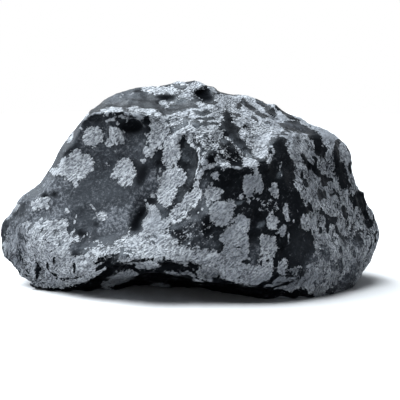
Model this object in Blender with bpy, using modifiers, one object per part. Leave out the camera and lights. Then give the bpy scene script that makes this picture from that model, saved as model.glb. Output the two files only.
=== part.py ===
# Snowflake obsidian: one broken lump of black volcanic glass, resting on its underside.
# Metres, +Z up, the front of the stone towards -Y.
import math

import bmesh
import bpy
import numpy as np
from mathutils import Vector
from mathutils.bvhtree import BVHTree

MM = 0.001

# The front of the stone is measured as it looks from in front: across and up are millimetres in
# a picture plane through the stone's middle, depth is millimetres behind (+) or before (-) it.
VIEW_DISTANCE = 420.0
VIEW_ELEVATION = math.radians(10.0)
VIEW_HEIGHT = 17.1

# The point from which every part of the surface can be seen: the cage is wrapped round it.
HEART = (0.0, 1.0, 16.0)

SKYLINE = (
    (-40.4, -6.6, 0), (-39.6, -4.0, 0), (-37.0, -1.0, 0), (-34.4, 1.4, -0.5), (-31.4, 4.6, 0),
    (-29.0, 8.8, 0.5), (-26.7, 11.7, 1), (-24.3, 14.8, 1.5), (-21.4, 18.5, 2), (-17.8, 21.1, 4),
    (-13.8, 22.6, 5), (-8.4, 23.1, 6), (-2.6, 23.7, 6), (0.6, 23.0, 7), (3.4, 21.9, 6),
    (6.0, 20.9, 6), (9.2, 20.6, 7), (12.8, 20.9, 8), (15.4, 19.3, 8), (18.2, 17.3, 7),
    (22.8, 14.8, 6), (26.4, 12.7, 4), (28.8, 11.2, 3), (30.3, 9.4, 2), (31.0, 5.6, 1),
    (32.0, 2.4, 2), (33.4, 1.7, 2), (33.9, -0.6, 2), (36.1, -4.3, 2), (36.5, -6.7, 1),
    (35.0, -10.8, 0), (33.3, -14.8, -1), (31.5, -17.2, -3), (27.2, -18.4, -7.5),
    (-40.3, -9.6, -1), (-39.3, -12.0, -2), (-37.3, -14.0, -2.5), (-36.9, -15.4, -3),
    (-35.0, -17.3, -5.5), (-31.6, -18.0, -7),
)
BROW = (
    (-23.6, 16.1, -3), (-21.4, 17.6, -4), (-18.6, 17.4, -6), (-15.8, 17.6, -7),
    (-13.2, 17.0, -8), (-10.6, 17.0, -8), (-8.2, 16.6, -8), (-7.0, 15.4, -8.5),
)
TOP = (
    (-19, 19.2, 0), (-12, 20.4, 1), (-6.8, 20.2, 0), (-2, 20, -1), (1.4, 21.2, 2),
    (-4, 17, -7), (1, 18, -5), (5, 18, -3), (9, 18.4, 2), (12.4, 17.6, 3), (0, 14, -11),
    (5, 14.4, -8.5), (9, 15, -5), (13, 14, -5), (3, 11, -13), (8, 11, -11), (11.6, 10, -11),
    (16, 15, -2), (19.4, 14, -1.5), (16.6, 12.6, -8), (22, 13.4, -2.5), (14, 10.8, -11),
)
RIM = (
    (1, 7, -16.5), (2.6, 5.6, -17), (4.4, 7, -17), (7, 6.4, -17.4), (10, 5.6, -17),
    (12.4, 8, -15),
)
SCOOP = (
    (-25, 12, -3.5), (-19, 13, -4), (-13.2, 13.8, -6.2), (-10, 13, -8), (-28, 6, -4.5),
    (-22, 6, -5.5), (-16, 7, -6.5), (-11, 7, -9.5), (-32, 1, -4.5), (-26, 0, -8),
    (-20, 0, -9), (-14, 0, -10.5), (-34, -3, -5.5), (-20, -7, -13),
)
MIDDLE = (
    (-7.4, 8, -9), (-3.4, 12.6, -11), (0, 9.4, -14.5), (-4, 10, -11.5), (-2, 7, -13),
    (-5, 6.4, -11.5), (-0.4, 4.4, -15.5), (-2.4, 2.8, -14.5), (-7.6, 2, -11.5),
    (-5, -1, -14), (-0.4, 0.4, -16.5), (-10.8, -1.2, -11.5), (-10, -4.4, -14.5),
    (-6, -4.4, -16), (-1.6, -5, -17.5), (-13.6, -5.6, -13.5),
)
FRONT = (
    (4.4, 2, -16.8), (9, 1, -16.8), (13, 2, -16), (17, 6, -13), (1, -3, -18.5), (5, -5, -19.5),
    (10, -5, -18.8), (15, -4, -17), (19.4, 1, -13.5), (21.2, -2.6, -14), (4, -11, -20),
    (10, -11, -20), (16, -10, -17.5), (20, -8, -15), (23.2, -11.8, -14.5), (18.6, -13, -17),
)
RIGHT = (
    (20, 10, -7), (25, 10, -3), (27.6, 7, -1.5), (22, 4, -9.5), (26.4, 2, -5), (30, 1, -1),
    (25, -3, -9.5), (29, -4, -5), (32.4, -4.4, -1), (27, -9, -9.5), (31.6, -9, -5),
    (26, -14, -11), (29.6, -13.6, -7.5), (23.2, -16, -14), (24.8, -18.9, -11),
    (22.2, -19.7, -13.5), (19.2, -19.9, -14.5),
)
LOBE = (
    (-38, -7, -2.5), (-36, -5.6, -4.5), (-32.8, -3.2, -6), (-35.6, -9, -6), (-36, -12.4, -4),
    (-32, -7, -9.5), (-26.4, -4.2, -10), (-28, -10, -12.5), (-32, -12.4, -9),
    (-23.8, -10.8, -14), (-34, -16, -4.5), (-31, -16.6, -7.5), (-27, -16.8, -10),
    (-28, -14, -12), (-24.4, -14, -14),
)
LEDGE = (
    (-20, -9, -15.5), (-15.8, -7.2, -15.5), (-12, -6.4, -16), (-7.4, -7.2, -17),
    (-3.2, -8.8, -18.5), (0.8, -10.8, -19.5), (-21, -12.4, -16), (-16, -10.4, -18.5),
    (-10, -10, -19.5),
)
LIP = (
    (-23.4, -16.4, -12), (-18.8, -13.6, -16), (-15.6, -11.8, -19), (-12, -11.6, -20),
    (-6.8, -12.0, -20), (0, -12.8, -20), (1.6, -15.4, -19), (6, -16.4, -19), (10, -17.4, -19),
    (15, -15.4, -19), (19.8, -16.2, -16.5),
)
ARCH = (
    (-20, -16.4, -9), (-15, -15, -13), (-10, -15, -13.5), (-4, -15.4, -14), (3, -17.4, -14),
    (9, -18.8, -14), (15, -18, -16),
)

# The back, the ends and the bed, in the stone's own millimetres: x, y, z. The bed bulges below
# the floor where the stone touches it, and is cut off level there.
BACK = (
    (-38.8, 4.5, 9), (-34.4, 11.6, 6), (-28, 14, 20), (-22, 13, 31), (-14, 15, 35.5), (-4, 16, 37.5),
    (6, 16, 36), (14, 17, 33), (22, 15, 28), (28, 12, 24), (31, 12, 14), (34.8, 7, 8), (30, 14, 3),
    (18, 21, 4), (18, 22, 18), (8, 24, 10), (2, 23, 24), (-10, 22, 20), (-8, 23, 6),
    (-20, 20, 5), (-22, 19, 20), (-29, 17, 4), (-35, 8.6, 2.4), (10, 22, 27), (-4, 20, 31),
)
BED = (
    (-32, -3, -0.9), (-25, -7, -0.9), (-29, 8, -0.9), (-21, 3, -0.9), (-18, 15, -0.9),
    (-4, 18, -0.9), (12, 18, -0.9), (24, 13, -0.9), (28, 4, -0.9), (27, -6, -0.9),
    (22.5, -12, -0.9), (17, -14, -0.9), (15, -3, -0.8), (10, -10, -0.4), (18, 7, 0.9),
    (-14, -5, 0.3), (0, -6, 0.4), (-12, 6, 1.4), (4, 5, 1.6), (6, 14, -0.5),
)

# Edges of the cage that bend more than this stay crisp when the cage is rounded.
RIDGE_ANGLE = math.radians(20)
RIDGE_CREASE = 0.75
VALLEY_ANGLE = math.radians(28)
VALLEY_CREASE = 0.4

# The cage's corners are drawn out until the rounded surface passes through the measured points.
FIT_ROUNDS = 3
FIT_LEVEL = 2
FIT_SHARE = 0.7
ROUNDS = 3

# A hollow's outline is bent about by this share of its size, and a mark on a face seen edge-on
# reaches at most this many times its seen size along the face.
BEND_SIZE = 0.9
BEND_SHARE = 0.3
BEND_SEED = 60
DENT_REACH = 1.5
STRETCH_LIMIT = 3.0

# Scars, hollows and pits of the front. Across and up of the middle, half width and half height,
# turn in degrees and depth, all as seen from in front.
HOLLOWS = (
    (-10.8, 15.7, 1.2, 0.9, -10, 0.5), (-13.4, 14.9, 1.5, 0.9, 5, 0.7),
    (-15.8, 16.5, 1.0, 0.7, 0, 0.6), (-18.2, 16.5, 1.0, 0.8, 20, 0.7),
    (-20.6, 16.1, 1.3, 0.7, 15, 0.6),
    (-6.8, 20.2, 1.8, 0.9, 4, 1.8), (1.4, 21.1, 2.0, 1.3, -20, 2.2),
    (-2.2, 8.6, 2.0, 5.8, -6, 0.9), (7.6, 9.4, 4.8, 1.7, -42, 1.0),
    (1.8, 8.0, 1.1, 1.7, -35, 1.8), (6.2, 3.8, 2.2, 3.0, 0, 0.5), (15.4, 6.6, 1.6, 2.3, 0, 1.0),
    (19.8, -10.4, 3.6, 3.2, -30, 0.8), (11.6, -5.6, 1.4, 3.8, 6, 0.6),
    (-12.2, -4.2, 1.6, 3.0, -28, 1.3), (-32.5, -13.8, 0.8, 1.9, 8, 1.2),
    (-29.2, 1.2, 0.7, 0.6, 0, 0.6), (-31.0, 0.8, 0.7, 0.5, 0, 0.5),
    (-25.0, -13.6, 0.9, 0.7, 20, 0.7), (-19.6, -12.4, 1.3, 0.6, 25, 0.7),
    (32.2, -8.4, 0.8, 1.0, 0, 0.8), (9.8, 19.2, 1.0, 1.7, 42, 0.7), (14.2, 17.6, 1.0, 2.4, 42, 0.5),
    (25.4, 7.2, 0.9, 2.2, 16, 0.7), (22.8, 6.2, 0.9, 3.6, 38, 0.8), (30.0, -4.4, 0.9, 1.6, 0, 0.6),
    (33.8, -4.6, 1.0, 2.8, 18, 0.9), (27.0, -15.6, 2.4, 1.8, 30, 0.8),
    (-7.0, -14.4, 9.5, 2.4, 2, 1.7), (-35.4, -10.0, 1.0, 3.2, -12, 0.7),
    (-28.0, -12.6, 2.6, 1.2, 18, 0.6), (-23.0, -15.4, 2.0, 1.2, 24, 0.7),
    (3.4, -16.2, 2.8, 0.9, -12, 0.4), (12.0, -16.6, 2.6, 0.6, 8, 0.5),
)

# Scars of the sides that are turned away: the way out from the heart as degrees round from the
# front and degrees up, then half width, half height, turn and depth.
HIDDEN_SCARS = (
    (180, 28, 12.0, 8.0, 12, 2.2), (214, 8, 9.0, 9.0, 0, 1.8), (150, 2, 10.0, 7.0, -20, 1.8),
    (122, 34, 8.0, 6.0, 30, 1.5), (230, 40, 8.0, 6.0, -15, 1.5), (108, 2, 5.0, 7.0, 0, 0.9),
    (192, 62, 9.0, 5.0, 0, 1.3), (248, 6, 5.0, 6.0, 0, 1.0), (172, -20, 9.0, 4.0, 5, 1.2),
    (135, 60, 6.0, 4.0, 50, 1.0), (200, 45, 5.0, 4.0, 35, 0.9), (160, 40, 6.0, 4.0, -30, 0.9),
)

# The broken surface is a mosaic of shallow scars: width of a scar and height of the edges
# between them, large and small.
SCARS = ((9.0, 1.1), (4.4, 0.75), (2.4, 0.34))
SCAR_MEAN = 0.35
SCAR_SEED = 10
SCAR_SPREAD = (0.1, 0.9)
STRAY_SIZE = 5.0
STRAY_REACH = 1.2
STRAY_SEED = 40
SWELL_SIZE = 7.0
SWELL_HEIGHT = 0.5
SWELL_SEED = 3
NOISE_TABLE = 32
NOISE_ORIGIN = 500.0

# Smooth glassy faces, the scoop at the left first: middle, half width and half height as seen
# from in front.
CALM_FACES = (
    (-20.0, 4.0, 11.5, 11.0), (-2.2, 8.0, 3.0, 5.6), (6.4, 3.2, 4.0, 4.2), (20.0, -9.6, 3.6, 4.2),
)
CALM_END = 1.15
CALM_FADE = 0.3
CALM_SHARE = 0.25

# Cell of the even skin drawn over the finished shape, and the triangles it is thinned to.
SKIN_CELL = 0.42
TRIANGLES = 9400
CUT_SNAP = 0.02
FLOOR_REACH = -0.5

STONE_COLOUR = (0.12, 0.125, 0.135, 1.0)
STONE_ROUGHNESS = 0.35

COS_E = math.cos(VIEW_ELEVATION)
SIN_E = math.sin(VIEW_ELEVATION)
EYE = np.array((0.0, -VIEW_DISTANCE * COS_E, VIEW_HEIGHT + VIEW_DISTANCE * SIN_E))
LOOK = np.array((0.0, COS_E, -SIN_E))
UPRIGHT = np.array((0.0, SIN_E, COS_E))


def from_picture(across, up, depth):
    """The point at that depth which looks to be there from in front, in the stone's millimetres."""
    rise = up * (VIEW_DISTANCE + depth * COS_E) - VIEW_DISTANCE * depth * SIN_E
    rise /= VIEW_DISTANCE * COS_E + up * SIN_E
    range_share = (VIEW_DISTANCE + depth * COS_E - rise * SIN_E) / VIEW_DISTANCE
    return Vector((across * range_share, depth, max(rise + VIEW_HEIGHT, FLOOR_REACH)))


def to_picture(points):
    """Across and up of points of the stone, as seen from in front."""
    rel = points - EYE
    reach = rel @ LOOK
    return np.stack((rel[:, 0], rel @ UPRIGHT), axis=1) * (VIEW_DISTANCE / reach)[:, None]


def cage_points():
    seen = SKYLINE + BROW + TOP + RIM + SCOOP + MIDDLE + FRONT + RIGHT + LOBE + LEDGE + LIP + ARCH
    return [from_picture(*p) for p in seen] + [Vector(p) for p in BACK + BED]


def wrapped_cage(points):
    """A closed cage through the points, with the faces that a hull of their directions has."""
    heart = Vector(HEART)
    cage = bmesh.new()
    for p in points:
        cage.verts.new((p - heart).normalized())
    bmesh.ops.convex_hull(cage, input=cage.verts)
    cage.verts.ensure_lookup_table()
    for vert, p in zip(cage.verts, points):
        vert.co = p
    bmesh.ops.recalc_face_normals(cage, faces=cage.faces)
    crease = cage.edges.layers.float.new("crease_edge")
    for edge in cage.edges:
        turn = edge.calc_face_angle_signed()
        if turn > RIDGE_ANGLE:
            edge[crease] = RIDGE_CREASE
        elif turn < -VALLEY_ANGLE:
            edge[crease] = VALLEY_CREASE
    mesh = bpy.data.meshes.new("cage")
    cage.to_mesh(mesh)
    cage.free()
    return mesh


def with_modifier(mesh, kind, **settings):
    """The mesh that one modifier makes of a mesh."""
    holder = bpy.data.objects.new("holder", mesh)
    bpy.context.scene.collection.objects.link(holder)
    mod = holder.modifiers.new("shape", kind)
    for name, value in settings.items():
        setattr(mod, name, value)
    bpy.context.view_layer.update()
    made = bpy.data.meshes.new_from_object(holder.evaluated_get(bpy.context.evaluated_depsgraph_get()))
    bpy.data.objects.remove(holder)
    return made


def vert_array(mesh, what="co"):
    flat = np.empty(len(mesh.vertices) * 3, dtype=np.float32)
    if what == "co":
        mesh.vertices.foreach_get("co", flat)
    else:
        mesh.vertex_normals.foreach_get("vector", flat)
    return flat.reshape(-1, 3).astype(float)


def put_verts(mesh, points):
    mesh.vertices.foreach_set("co", points.astype(np.float32).ravel())
    mesh.update()


def seat(tree, points, normals, across, up, half_w, half_h, turn):
    """Middle of a mark on the front and the three vectors that carry its ellipse and its height."""
    ray = LOOK * VIEW_DISTANCE + UPRIGHT * up + np.array((across, 0.0, 0.0))
    hit = tree.ray_cast(Vector(EYE), Vector(ray))[0]
    middle = np.array(hit)
    gap = np.linalg.norm(points - middle, axis=1)
    out = normals[gap < max(half_w, half_h, 1.0)].sum(axis=0)
    out /= np.linalg.norm(out)
    spread = []
    for angle, half in ((turn, half_w), (turn + 90.0, half_h)):
        side = math.cos(math.radians(angle)) * half
        rise = math.sin(math.radians(angle)) * half
        way = ray + UPRIGHT * rise + np.array((side, 0.0, 0.0))
        along = EYE + way * ((middle - EYE) @ out) / (way @ out) - middle
        length = np.linalg.norm(along)
        spread.append(along * min(1.0, STRETCH_LIMIT * half / length))
    size = math.sqrt(np.linalg.norm(spread[0]) * np.linalg.norm(spread[1]))
    return middle, np.stack((spread[0], spread[1], out * size), axis=1), size


def hidden_seat(tree, points, normals, round_front, rise, half_w, half_h, turn):
    """The same for a mark on a side that the picture doesn't show."""
    a = math.radians(round_front)
    e = math.radians(rise)
    way = Vector((math.sin(a) * math.cos(e), -math.cos(a) * math.cos(e), math.sin(e)))
    middle = np.array(tree.ray_cast(Vector(HEART), way)[0])
    gap = np.linalg.norm(points - middle, axis=1)
    out = normals[gap < max(half_w, half_h)].sum(axis=0)
    out /= np.linalg.norm(out)
    level = np.cross((0.0, 0.0, 1.0), out)
    level /= np.linalg.norm(level)
    steep = np.cross(out, level)
    c = math.cos(math.radians(turn))
    s = math.sin(math.radians(turn))
    size = math.sqrt(half_w * half_h)
    spread = ((level * c + steep * s) * half_w, (steep * c - level * s) * half_h, out * size)
    return middle, np.stack(spread, axis=1), size


def dent(points, middle, basis, size, depth):
    """Presses a ball into the surface, stretched to the ellipse of the basis."""
    local = (points - middle) @ np.linalg.inv(basis).T
    bend = [smooth_noise(points, size * BEND_SIZE, BEND_SEED + i) * BEND_SHARE for i in range(3)]
    local += np.stack(bend, axis=1)
    share = depth / size
    radius = (1.0 + share * share) / (2.0 * share)
    away = local - np.array((0.0, 0.0, radius - share))
    dist = np.linalg.norm(away, axis=1)
    near = (dist < radius) & (np.hypot(local[:, 0], local[:, 1]) < DENT_REACH) & (local[:, 2] < DENT_REACH)
    away[near] *= (radius / dist[near])[:, None]
    local[near] = away[near] + np.array((0.0, 0.0, radius - share))
    local -= np.stack(bend, axis=1)
    points[near] = middle + local[near] @ basis.T


def smooth_noise(points, size, seed):
    """Soft lumps between -1 and 1, one lump to a cell of that size."""
    table = np.random.default_rng(seed).uniform(-1.0, 1.0, (NOISE_TABLE,) * 3)
    grid = points / size + NOISE_ORIGIN
    cell = np.floor(grid).astype(int)
    part = grid - cell
    part = part * part * (3.0 - 2.0 * part)
    total = 0.0
    for corner in np.ndindex(2, 2, 2):
        weight = np.prod(np.where(corner, part, 1.0 - part), axis=1)
        i, j, k = ((cell + corner) % NOISE_TABLE).T
        total = total + weight * table[i, j, k]
    return total


def scar_noise(points, size, seed):
    """Dished cells with sharp edges between them: 0 in the middle of a cell, about 1 at its edge."""
    shift = np.random.default_rng(seed).uniform(*SCAR_SPREAD, (NOISE_TABLE,) * 3 + (3,))
    grid = points / size + NOISE_ORIGIN
    cell = np.floor(grid).astype(int)
    best = np.full(len(points), np.inf)
    for step in np.ndindex(3, 3, 3):
        at = cell + np.array(step) - 1
        i, j, k = (at % NOISE_TABLE).T
        gap = at + shift[i, j, k] - grid
        best = np.minimum(best, (gap * gap).sum(axis=1))
    return best


def roughen(points, normals):
    """Raises the edges between scars, and less so on the calm faces."""
    seen = to_picture(points)
    calm = np.zeros(len(points))
    for face in CALM_FACES:
        off = np.linalg.norm((seen - face[:2]) / face[2:], axis=1)
        calm = np.maximum(calm, np.clip((CALM_END - off) / CALM_FADE, 0.0, 1.0))
    share = 1.0 - (1.0 - CALM_SHARE) * calm * (normals @ LOOK < 0.0)
    bend = np.stack([smooth_noise(points, STRAY_SIZE, STRAY_SEED + i) for i in range(3)], axis=1)
    bend *= STRAY_REACH
    height = SWELL_HEIGHT * smooth_noise(points, SWELL_SIZE, SWELL_SEED)
    for turn, (size, rise) in enumerate(SCARS):
        height = height + rise * (scar_noise(points + bend, size, SCAR_SEED + turn) - SCAR_MEAN)
    points += normals * (height * share)[:, None]


def rounded(rounds):
    """The cage rounded off, after its corners are drawn out until the rounding meets the points."""
    cage = wrapped_cage(cage_points())
    wanted = vert_array(cage)
    corners = wanted.copy()
    for _ in range(FIT_ROUNDS):
        made = with_modifier(cage.copy(), "SUBSURF", levels=FIT_LEVEL, render_levels=FIT_LEVEL)
        corners += (wanted - vert_array(made)[:len(wanted)]) * FIT_SHARE
        put_verts(cage, corners)
    return with_modifier(cage, "SUBSURF", levels=rounds, render_levels=rounds)


def shaped(rounds):
    """The whole stone in millimetres, before it is thinned and centred."""
    mesh = rounded(rounds)
    points = vert_array(mesh)
    normals = vert_array(mesh, "normal")
    tree = BVHTree.FromPolygons(points.tolist(), [list(f.vertices) for f in mesh.polygons])
    seats = [(seat(tree, points, normals, *mark[:5]), mark[5]) for mark in HOLLOWS]
    seats += [(hidden_seat(tree, points, normals, *mark[:5]), mark[5]) for mark in HIDDEN_SCARS]
    for (middle, basis, size), depth in seats:
        dent(points, middle, basis, size, depth)
    put_verts(mesh, points)
    roughen(points, vert_array(mesh, "normal"))
    put_verts(mesh, points)
    return mesh


def largest_body(mesh):
    """Drops crumbs that came loose from the stone."""
    body = bmesh.new()
    body.from_mesh(mesh)
    left = set(body.verts)
    lumps = []
    while left:
        lump = {left.pop()}
        edge = list(lump)
        while edge:
            vert = edge.pop()
            for side in vert.link_edges:
                other = side.other_vert(vert)
                if other in left:
                    left.remove(other)
                    lump.add(other)
                    edge.append(other)
        lumps.append(lump)
    lumps.sort(key=len)
    for lump in lumps[:-1]:
        bmesh.ops.delete(body, geom=list(lump), context="VERTS")
    body.to_mesh(mesh)
    body.free()


def cut_level(mesh):
    """Cuts off what is below the floor and closes the cut with flat faces."""
    body = bmesh.new()
    body.from_mesh(mesh)
    everything = body.verts[:] + body.edges[:] + body.faces[:]
    bmesh.ops.bisect_plane(body, geom=everything, dist=CUT_SNAP, plane_co=(0, 0, 0), plane_no=(0, 0, 1),
                           clear_inner=True)
    rims = [e for e in body.edges if e.is_boundary]
    bmesh.ops.triangle_fill(body, use_beauty=True, use_dissolve=False, edges=rims, normal=(0, 0, -1))
    bmesh.ops.triangulate(body, faces=body.faces[:])
    bmesh.ops.recalc_face_normals(body, faces=body.faces[:])
    body.to_mesh(mesh)
    body.free()


def main():
    for obj in list(bpy.data.objects):
        bpy.data.objects.remove(obj)
    mesh = with_modifier(shaped(ROUNDS), "REMESH", mode="VOXEL", voxel_size=SKIN_CELL)
    largest_body(mesh)
    count = sum(len(f.vertices) - 2 for f in mesh.polygons)
    mesh = with_modifier(mesh, "DECIMATE", ratio=TRIANGLES / count)
    cut_level(mesh)
    points = vert_array(mesh)
    points[points[:, 2] < CUT_SNAP, 2] = 0.0
    low = points.min(axis=0)
    high = points.max(axis=0)
    shift = np.array((-(low[0] + high[0]) / 2, -(low[1] + high[1]) / 2, 0.0))
    put_verts(mesh, (points + shift) * MM)
    mesh.name = "snowflake_obsidian"
    group = bpy.data.collections.new("snowflake_obsidian")
    bpy.context.scene.collection.children.link(group)
    stone = bpy.data.objects.new("snowflake_obsidian", mesh)
    group.objects.link(stone)
    glass = bpy.data.materials.new("black_obsidian")
    glass.use_nodes = True
    shader = glass.node_tree.nodes["Principled BSDF"]
    shader.inputs["Base Color"].default_value = STONE_COLOUR
    shader.inputs["Roughness"].default_value = STONE_ROUGHNESS
    mesh.materials.append(glass)


main()
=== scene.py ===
# Snowflake obsidian: the looks of one broken lump of black volcanic glass with pale flakes.
# Shapes are worked out in millimetres and put into the frame in metres; +Z up, front towards -Y.
import math

import bmesh
import bpy
import numpy as np
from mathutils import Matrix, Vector
from mathutils.bvhtree import BVHTree


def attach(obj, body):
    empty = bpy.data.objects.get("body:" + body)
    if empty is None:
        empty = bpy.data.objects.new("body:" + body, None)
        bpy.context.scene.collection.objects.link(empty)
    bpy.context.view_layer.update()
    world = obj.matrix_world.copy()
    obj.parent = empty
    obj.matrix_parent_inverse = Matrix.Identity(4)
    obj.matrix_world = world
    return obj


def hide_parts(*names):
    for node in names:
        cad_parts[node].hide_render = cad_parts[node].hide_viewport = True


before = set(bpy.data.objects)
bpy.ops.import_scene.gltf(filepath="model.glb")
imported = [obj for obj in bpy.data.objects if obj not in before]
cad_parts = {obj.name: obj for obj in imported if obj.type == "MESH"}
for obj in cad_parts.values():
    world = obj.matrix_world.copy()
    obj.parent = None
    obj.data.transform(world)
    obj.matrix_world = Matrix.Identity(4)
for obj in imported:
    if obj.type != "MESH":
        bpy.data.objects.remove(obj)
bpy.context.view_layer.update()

MM = 0.001

# How far the stone's own millimetres are moved to centre it in the frame.
SHIFT = np.array((1.92, -1.74, 0.0))

# The front of the stone is measured as it looks from in front: across and up are millimetres in
# a picture plane through the stone's middle, depth is millimetres behind (+) or before (-) it.
VIEW_DISTANCE = 420.0
VIEW_ELEVATION = math.radians(10.0)
VIEW_HEIGHT = 17.1

# The point from which every part of the surface can be seen: the cage is wrapped round it.
HEART = (0.0, 1.0, 16.0)

SKYLINE = (
    (-40.4, -6.6, 0), (-39.6, -4, 0), (-37, -1, 0), (-34.4, 1.4, -0.5), (-31.4, 4.6, 0),
    (-29, 8.8, 0.5), (-26.7, 11.7, 1), (-24.3, 14.8, 1.5), (-21.4, 18.5, 2), (-17.8, 21.1, 4),
    (-13.8, 22.6, 5), (-8.4, 23.1, 6), (-2.6, 23.7, 6), (0.6, 23, 7), (3.4, 21.9, 6), (6, 20.9, 6),
    (9.2, 20.6, 7), (12.8, 20.9, 8), (15.4, 19.3, 8), (18.2, 17.3, 7), (22.8, 14.8, 6), (26.4, 12.7, 4),
    (28.8, 11.2, 3), (30.3, 9.4, 2), (31, 5.6, 1), (32, 2.4, 2), (33.4, 1.7, 2), (33.9, -0.6, 2),
    (36.1, -4.3, 2), (36.5, -6.7, 1), (35, -10.8, 0), (33.3, -14.8, -1), (31.5, -17.2, -3),
    (27.2, -18.4, -7.5), (-40.3, -9.6, -1), (-39.3, -12, -2), (-37.3, -14, -2.5), (-36.9, -15.4, -3),
    (-35, -17.3, -5.5), (-31.6, -18, -7),
)
BROW = (
    (-23.6, 16.1, -3), (-21.4, 17.6, -4), (-18.6, 17.4, -6), (-15.8, 17.6, -7), (-13.2, 17, -8),
    (-10.6, 17, -8), (-8.2, 16.6, -8), (-7, 15.4, -8.5),
)
TOP = (
    (-19, 19.2, 0), (-12, 20.4, 1), (-6.8, 20.2, 0), (-2, 20, -1), (1.4, 21.2, 2), (-4, 17, -7),
    (1, 18, -5), (5, 18, -3), (9, 18.4, 2), (12.4, 17.6, 3), (0, 14, -11), (5, 14.4, -8.5), (9, 15, -5),
    (13, 14, -5), (3, 11, -13), (8, 11, -11), (11.6, 10, -11), (16, 15, -2), (19.4, 14, -1.5),
    (16.6, 12.6, -8), (22, 13.4, -2.5), (14, 10.8, -11),
)
RIM = (
    (1, 7, -16.5), (2.6, 5.6, -17), (4.4, 7, -17), (7, 6.4, -17.4), (10, 5.6, -17), (12.4, 8, -15),
)
SCOOP = (
    (-25, 12, -3.5), (-19, 13, -4), (-13.2, 13.8, -6.2), (-10, 13, -8), (-28, 6, -4.5), (-22, 6, -5.5),
    (-16, 7, -6.5), (-11, 7, -9.5), (-32, 1, -4.5), (-26, 0, -8), (-20, 0, -9), (-14, 0, -10.5),
    (-34, -3, -5.5), (-20, -7, -13),
)
MIDDLE = (
    (-7.4, 8, -9), (-3.4, 12.6, -11), (0, 9.4, -14.5), (-4, 10, -11.5), (-2, 7, -13), (-5, 6.4, -11.5),
    (-0.4, 4.4, -15.5), (-2.4, 2.8, -14.5), (-7.6, 2, -11.5), (-5, -1, -14), (-0.4, 0.4, -16.5),
    (-10.8, -1.2, -11.5), (-10, -4.4, -14.5), (-6, -4.4, -16), (-1.6, -5, -17.5), (-13.6, -5.6, -13.5),
)
FRONT = (
    (4.4, 2, -16.8), (9, 1, -16.8), (13, 2, -16), (17, 6, -13), (1, -3, -18.5), (5, -5, -19.5),
    (10, -5, -18.8), (15, -4, -17), (19.4, 1, -13.5), (21.2, -2.6, -14), (4, -11, -20), (10, -11, -20),
    (16, -10, -17.5), (20, -8, -15), (23.2, -11.8, -14.5), (18.6, -13, -17),
)
RIGHT = (
    (20, 10, -7), (25, 10, -3), (27.6, 7, -1.5), (22, 4, -9.5), (26.4, 2, -5), (30, 1, -1),
    (25, -3, -9.5), (29, -4, -5), (32.4, -4.4, -1), (27, -9, -9.5), (31.6, -9, -5), (26, -14, -11),
    (29.6, -13.6, -7.5), (23.2, -16, -14), (24.8, -18.9, -11), (22.2, -19.7, -13.5),
    (19.2, -19.9, -14.5),
)
LOBE = (
    (-38, -7, -2.5), (-36, -5.6, -4.5), (-32.8, -3.2, -6), (-35.6, -9, -6), (-36, -12.4, -4),
    (-32, -7, -9.5), (-26.4, -4.2, -10), (-28, -10, -12.5), (-32, -12.4, -9), (-23.8, -10.8, -14),
    (-34, -16, -4.5), (-31, -16.6, -7.5), (-27, -16.8, -10), (-28, -14, -12), (-24.4, -14, -14),
)
LEDGE = (
    (-20, -9, -15.5), (-15.8, -7.2, -15.5), (-12, -6.4, -16), (-7.4, -7.2, -17), (-3.2, -8.8, -18.5),
    (0.8, -10.8, -19.5), (-21, -12.4, -16), (-16, -10.4, -18.5), (-10, -10, -19.5),
)
LIP = (
    (-23.4, -16.4, -12), (-18.8, -13.6, -16), (-15.6, -11.8, -19), (-12, -11.6, -20), (-6.8, -12, -20),
    (0, -12.8, -20), (1.6, -15.4, -19), (6, -16.4, -19), (10, -17.4, -19), (15, -15.4, -19),
    (19.8, -16.2, -16.5),
)
ARCH = (
    (-20, -16.4, -9), (-15, -15, -13), (-10, -15, -13.5), (-4, -15.4, -14), (3, -17.4, -14),
    (9, -18.8, -14), (15, -18, -16),
)

# The back, the ends and the bed, in the stone's own millimetres: x, y, z. The bed bulges below
# the floor where the stone touches it, and is cut off level there.
BACK = (
    (-38.8, 4.5, 9), (-34.4, 11.6, 6), (-28, 14, 20), (-22, 13, 31), (-14, 15, 35.5), (-4, 16, 37.5),
    (6, 16, 36), (14, 17, 33), (22, 15, 28), (28, 12, 24), (31, 12, 14), (34.8, 7, 8), (30, 14, 3),
    (18, 21, 4), (18, 22, 18), (8, 24, 10), (2, 23, 24), (-10, 22, 20), (-8, 23, 6), (-20, 20, 5),
    (-22, 19, 20), (-29, 17, 4), (-35, 8.6, 2.4), (10, 22, 27), (-4, 20, 31),
)
BED = (
    (-32, -3, -0.9), (-25, -7, -0.9), (-29, 8, -0.9), (-21, 3, -0.9), (-18, 15, -0.9), (-4, 18, -0.9),
    (12, 18, -0.9), (24, 13, -0.9), (28, 4, -0.9), (27, -6, -0.9), (22.5, -12, -0.9), (17, -14, -0.9),
    (15, -3, -0.8), (10, -10, -0.4), (18, 7, 0.9), (-14, -5, 0.3), (0, -6, 0.4), (-12, 6, 1.4),
    (4, 5, 1.6), (6, 14, -0.5),
)

# Edges of the cage that bend more than this stay crisp when the cage is rounded.
RIDGE_ANGLE = math.radians(20)
RIDGE_CREASE = 0.75
VALLEY_ANGLE = math.radians(28)
VALLEY_CREASE = 0.4

# The cage's corners are drawn out until the rounded surface passes through the measured points.
FIT_ROUNDS = 3
FIT_LEVEL = 2
FIT_SHARE = 0.7
ROUNDS = 4

# A hollow's outline is bent about by this share of its size, and a mark on a face seen edge-on
# reaches at most this many times its seen size along the face.
BEND_SIZE = 0.9
BEND_SHARE = 0.3
BEND_SEED = 60
DENT_REACH = 1.5
STRETCH_LIMIT = 3.0

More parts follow.
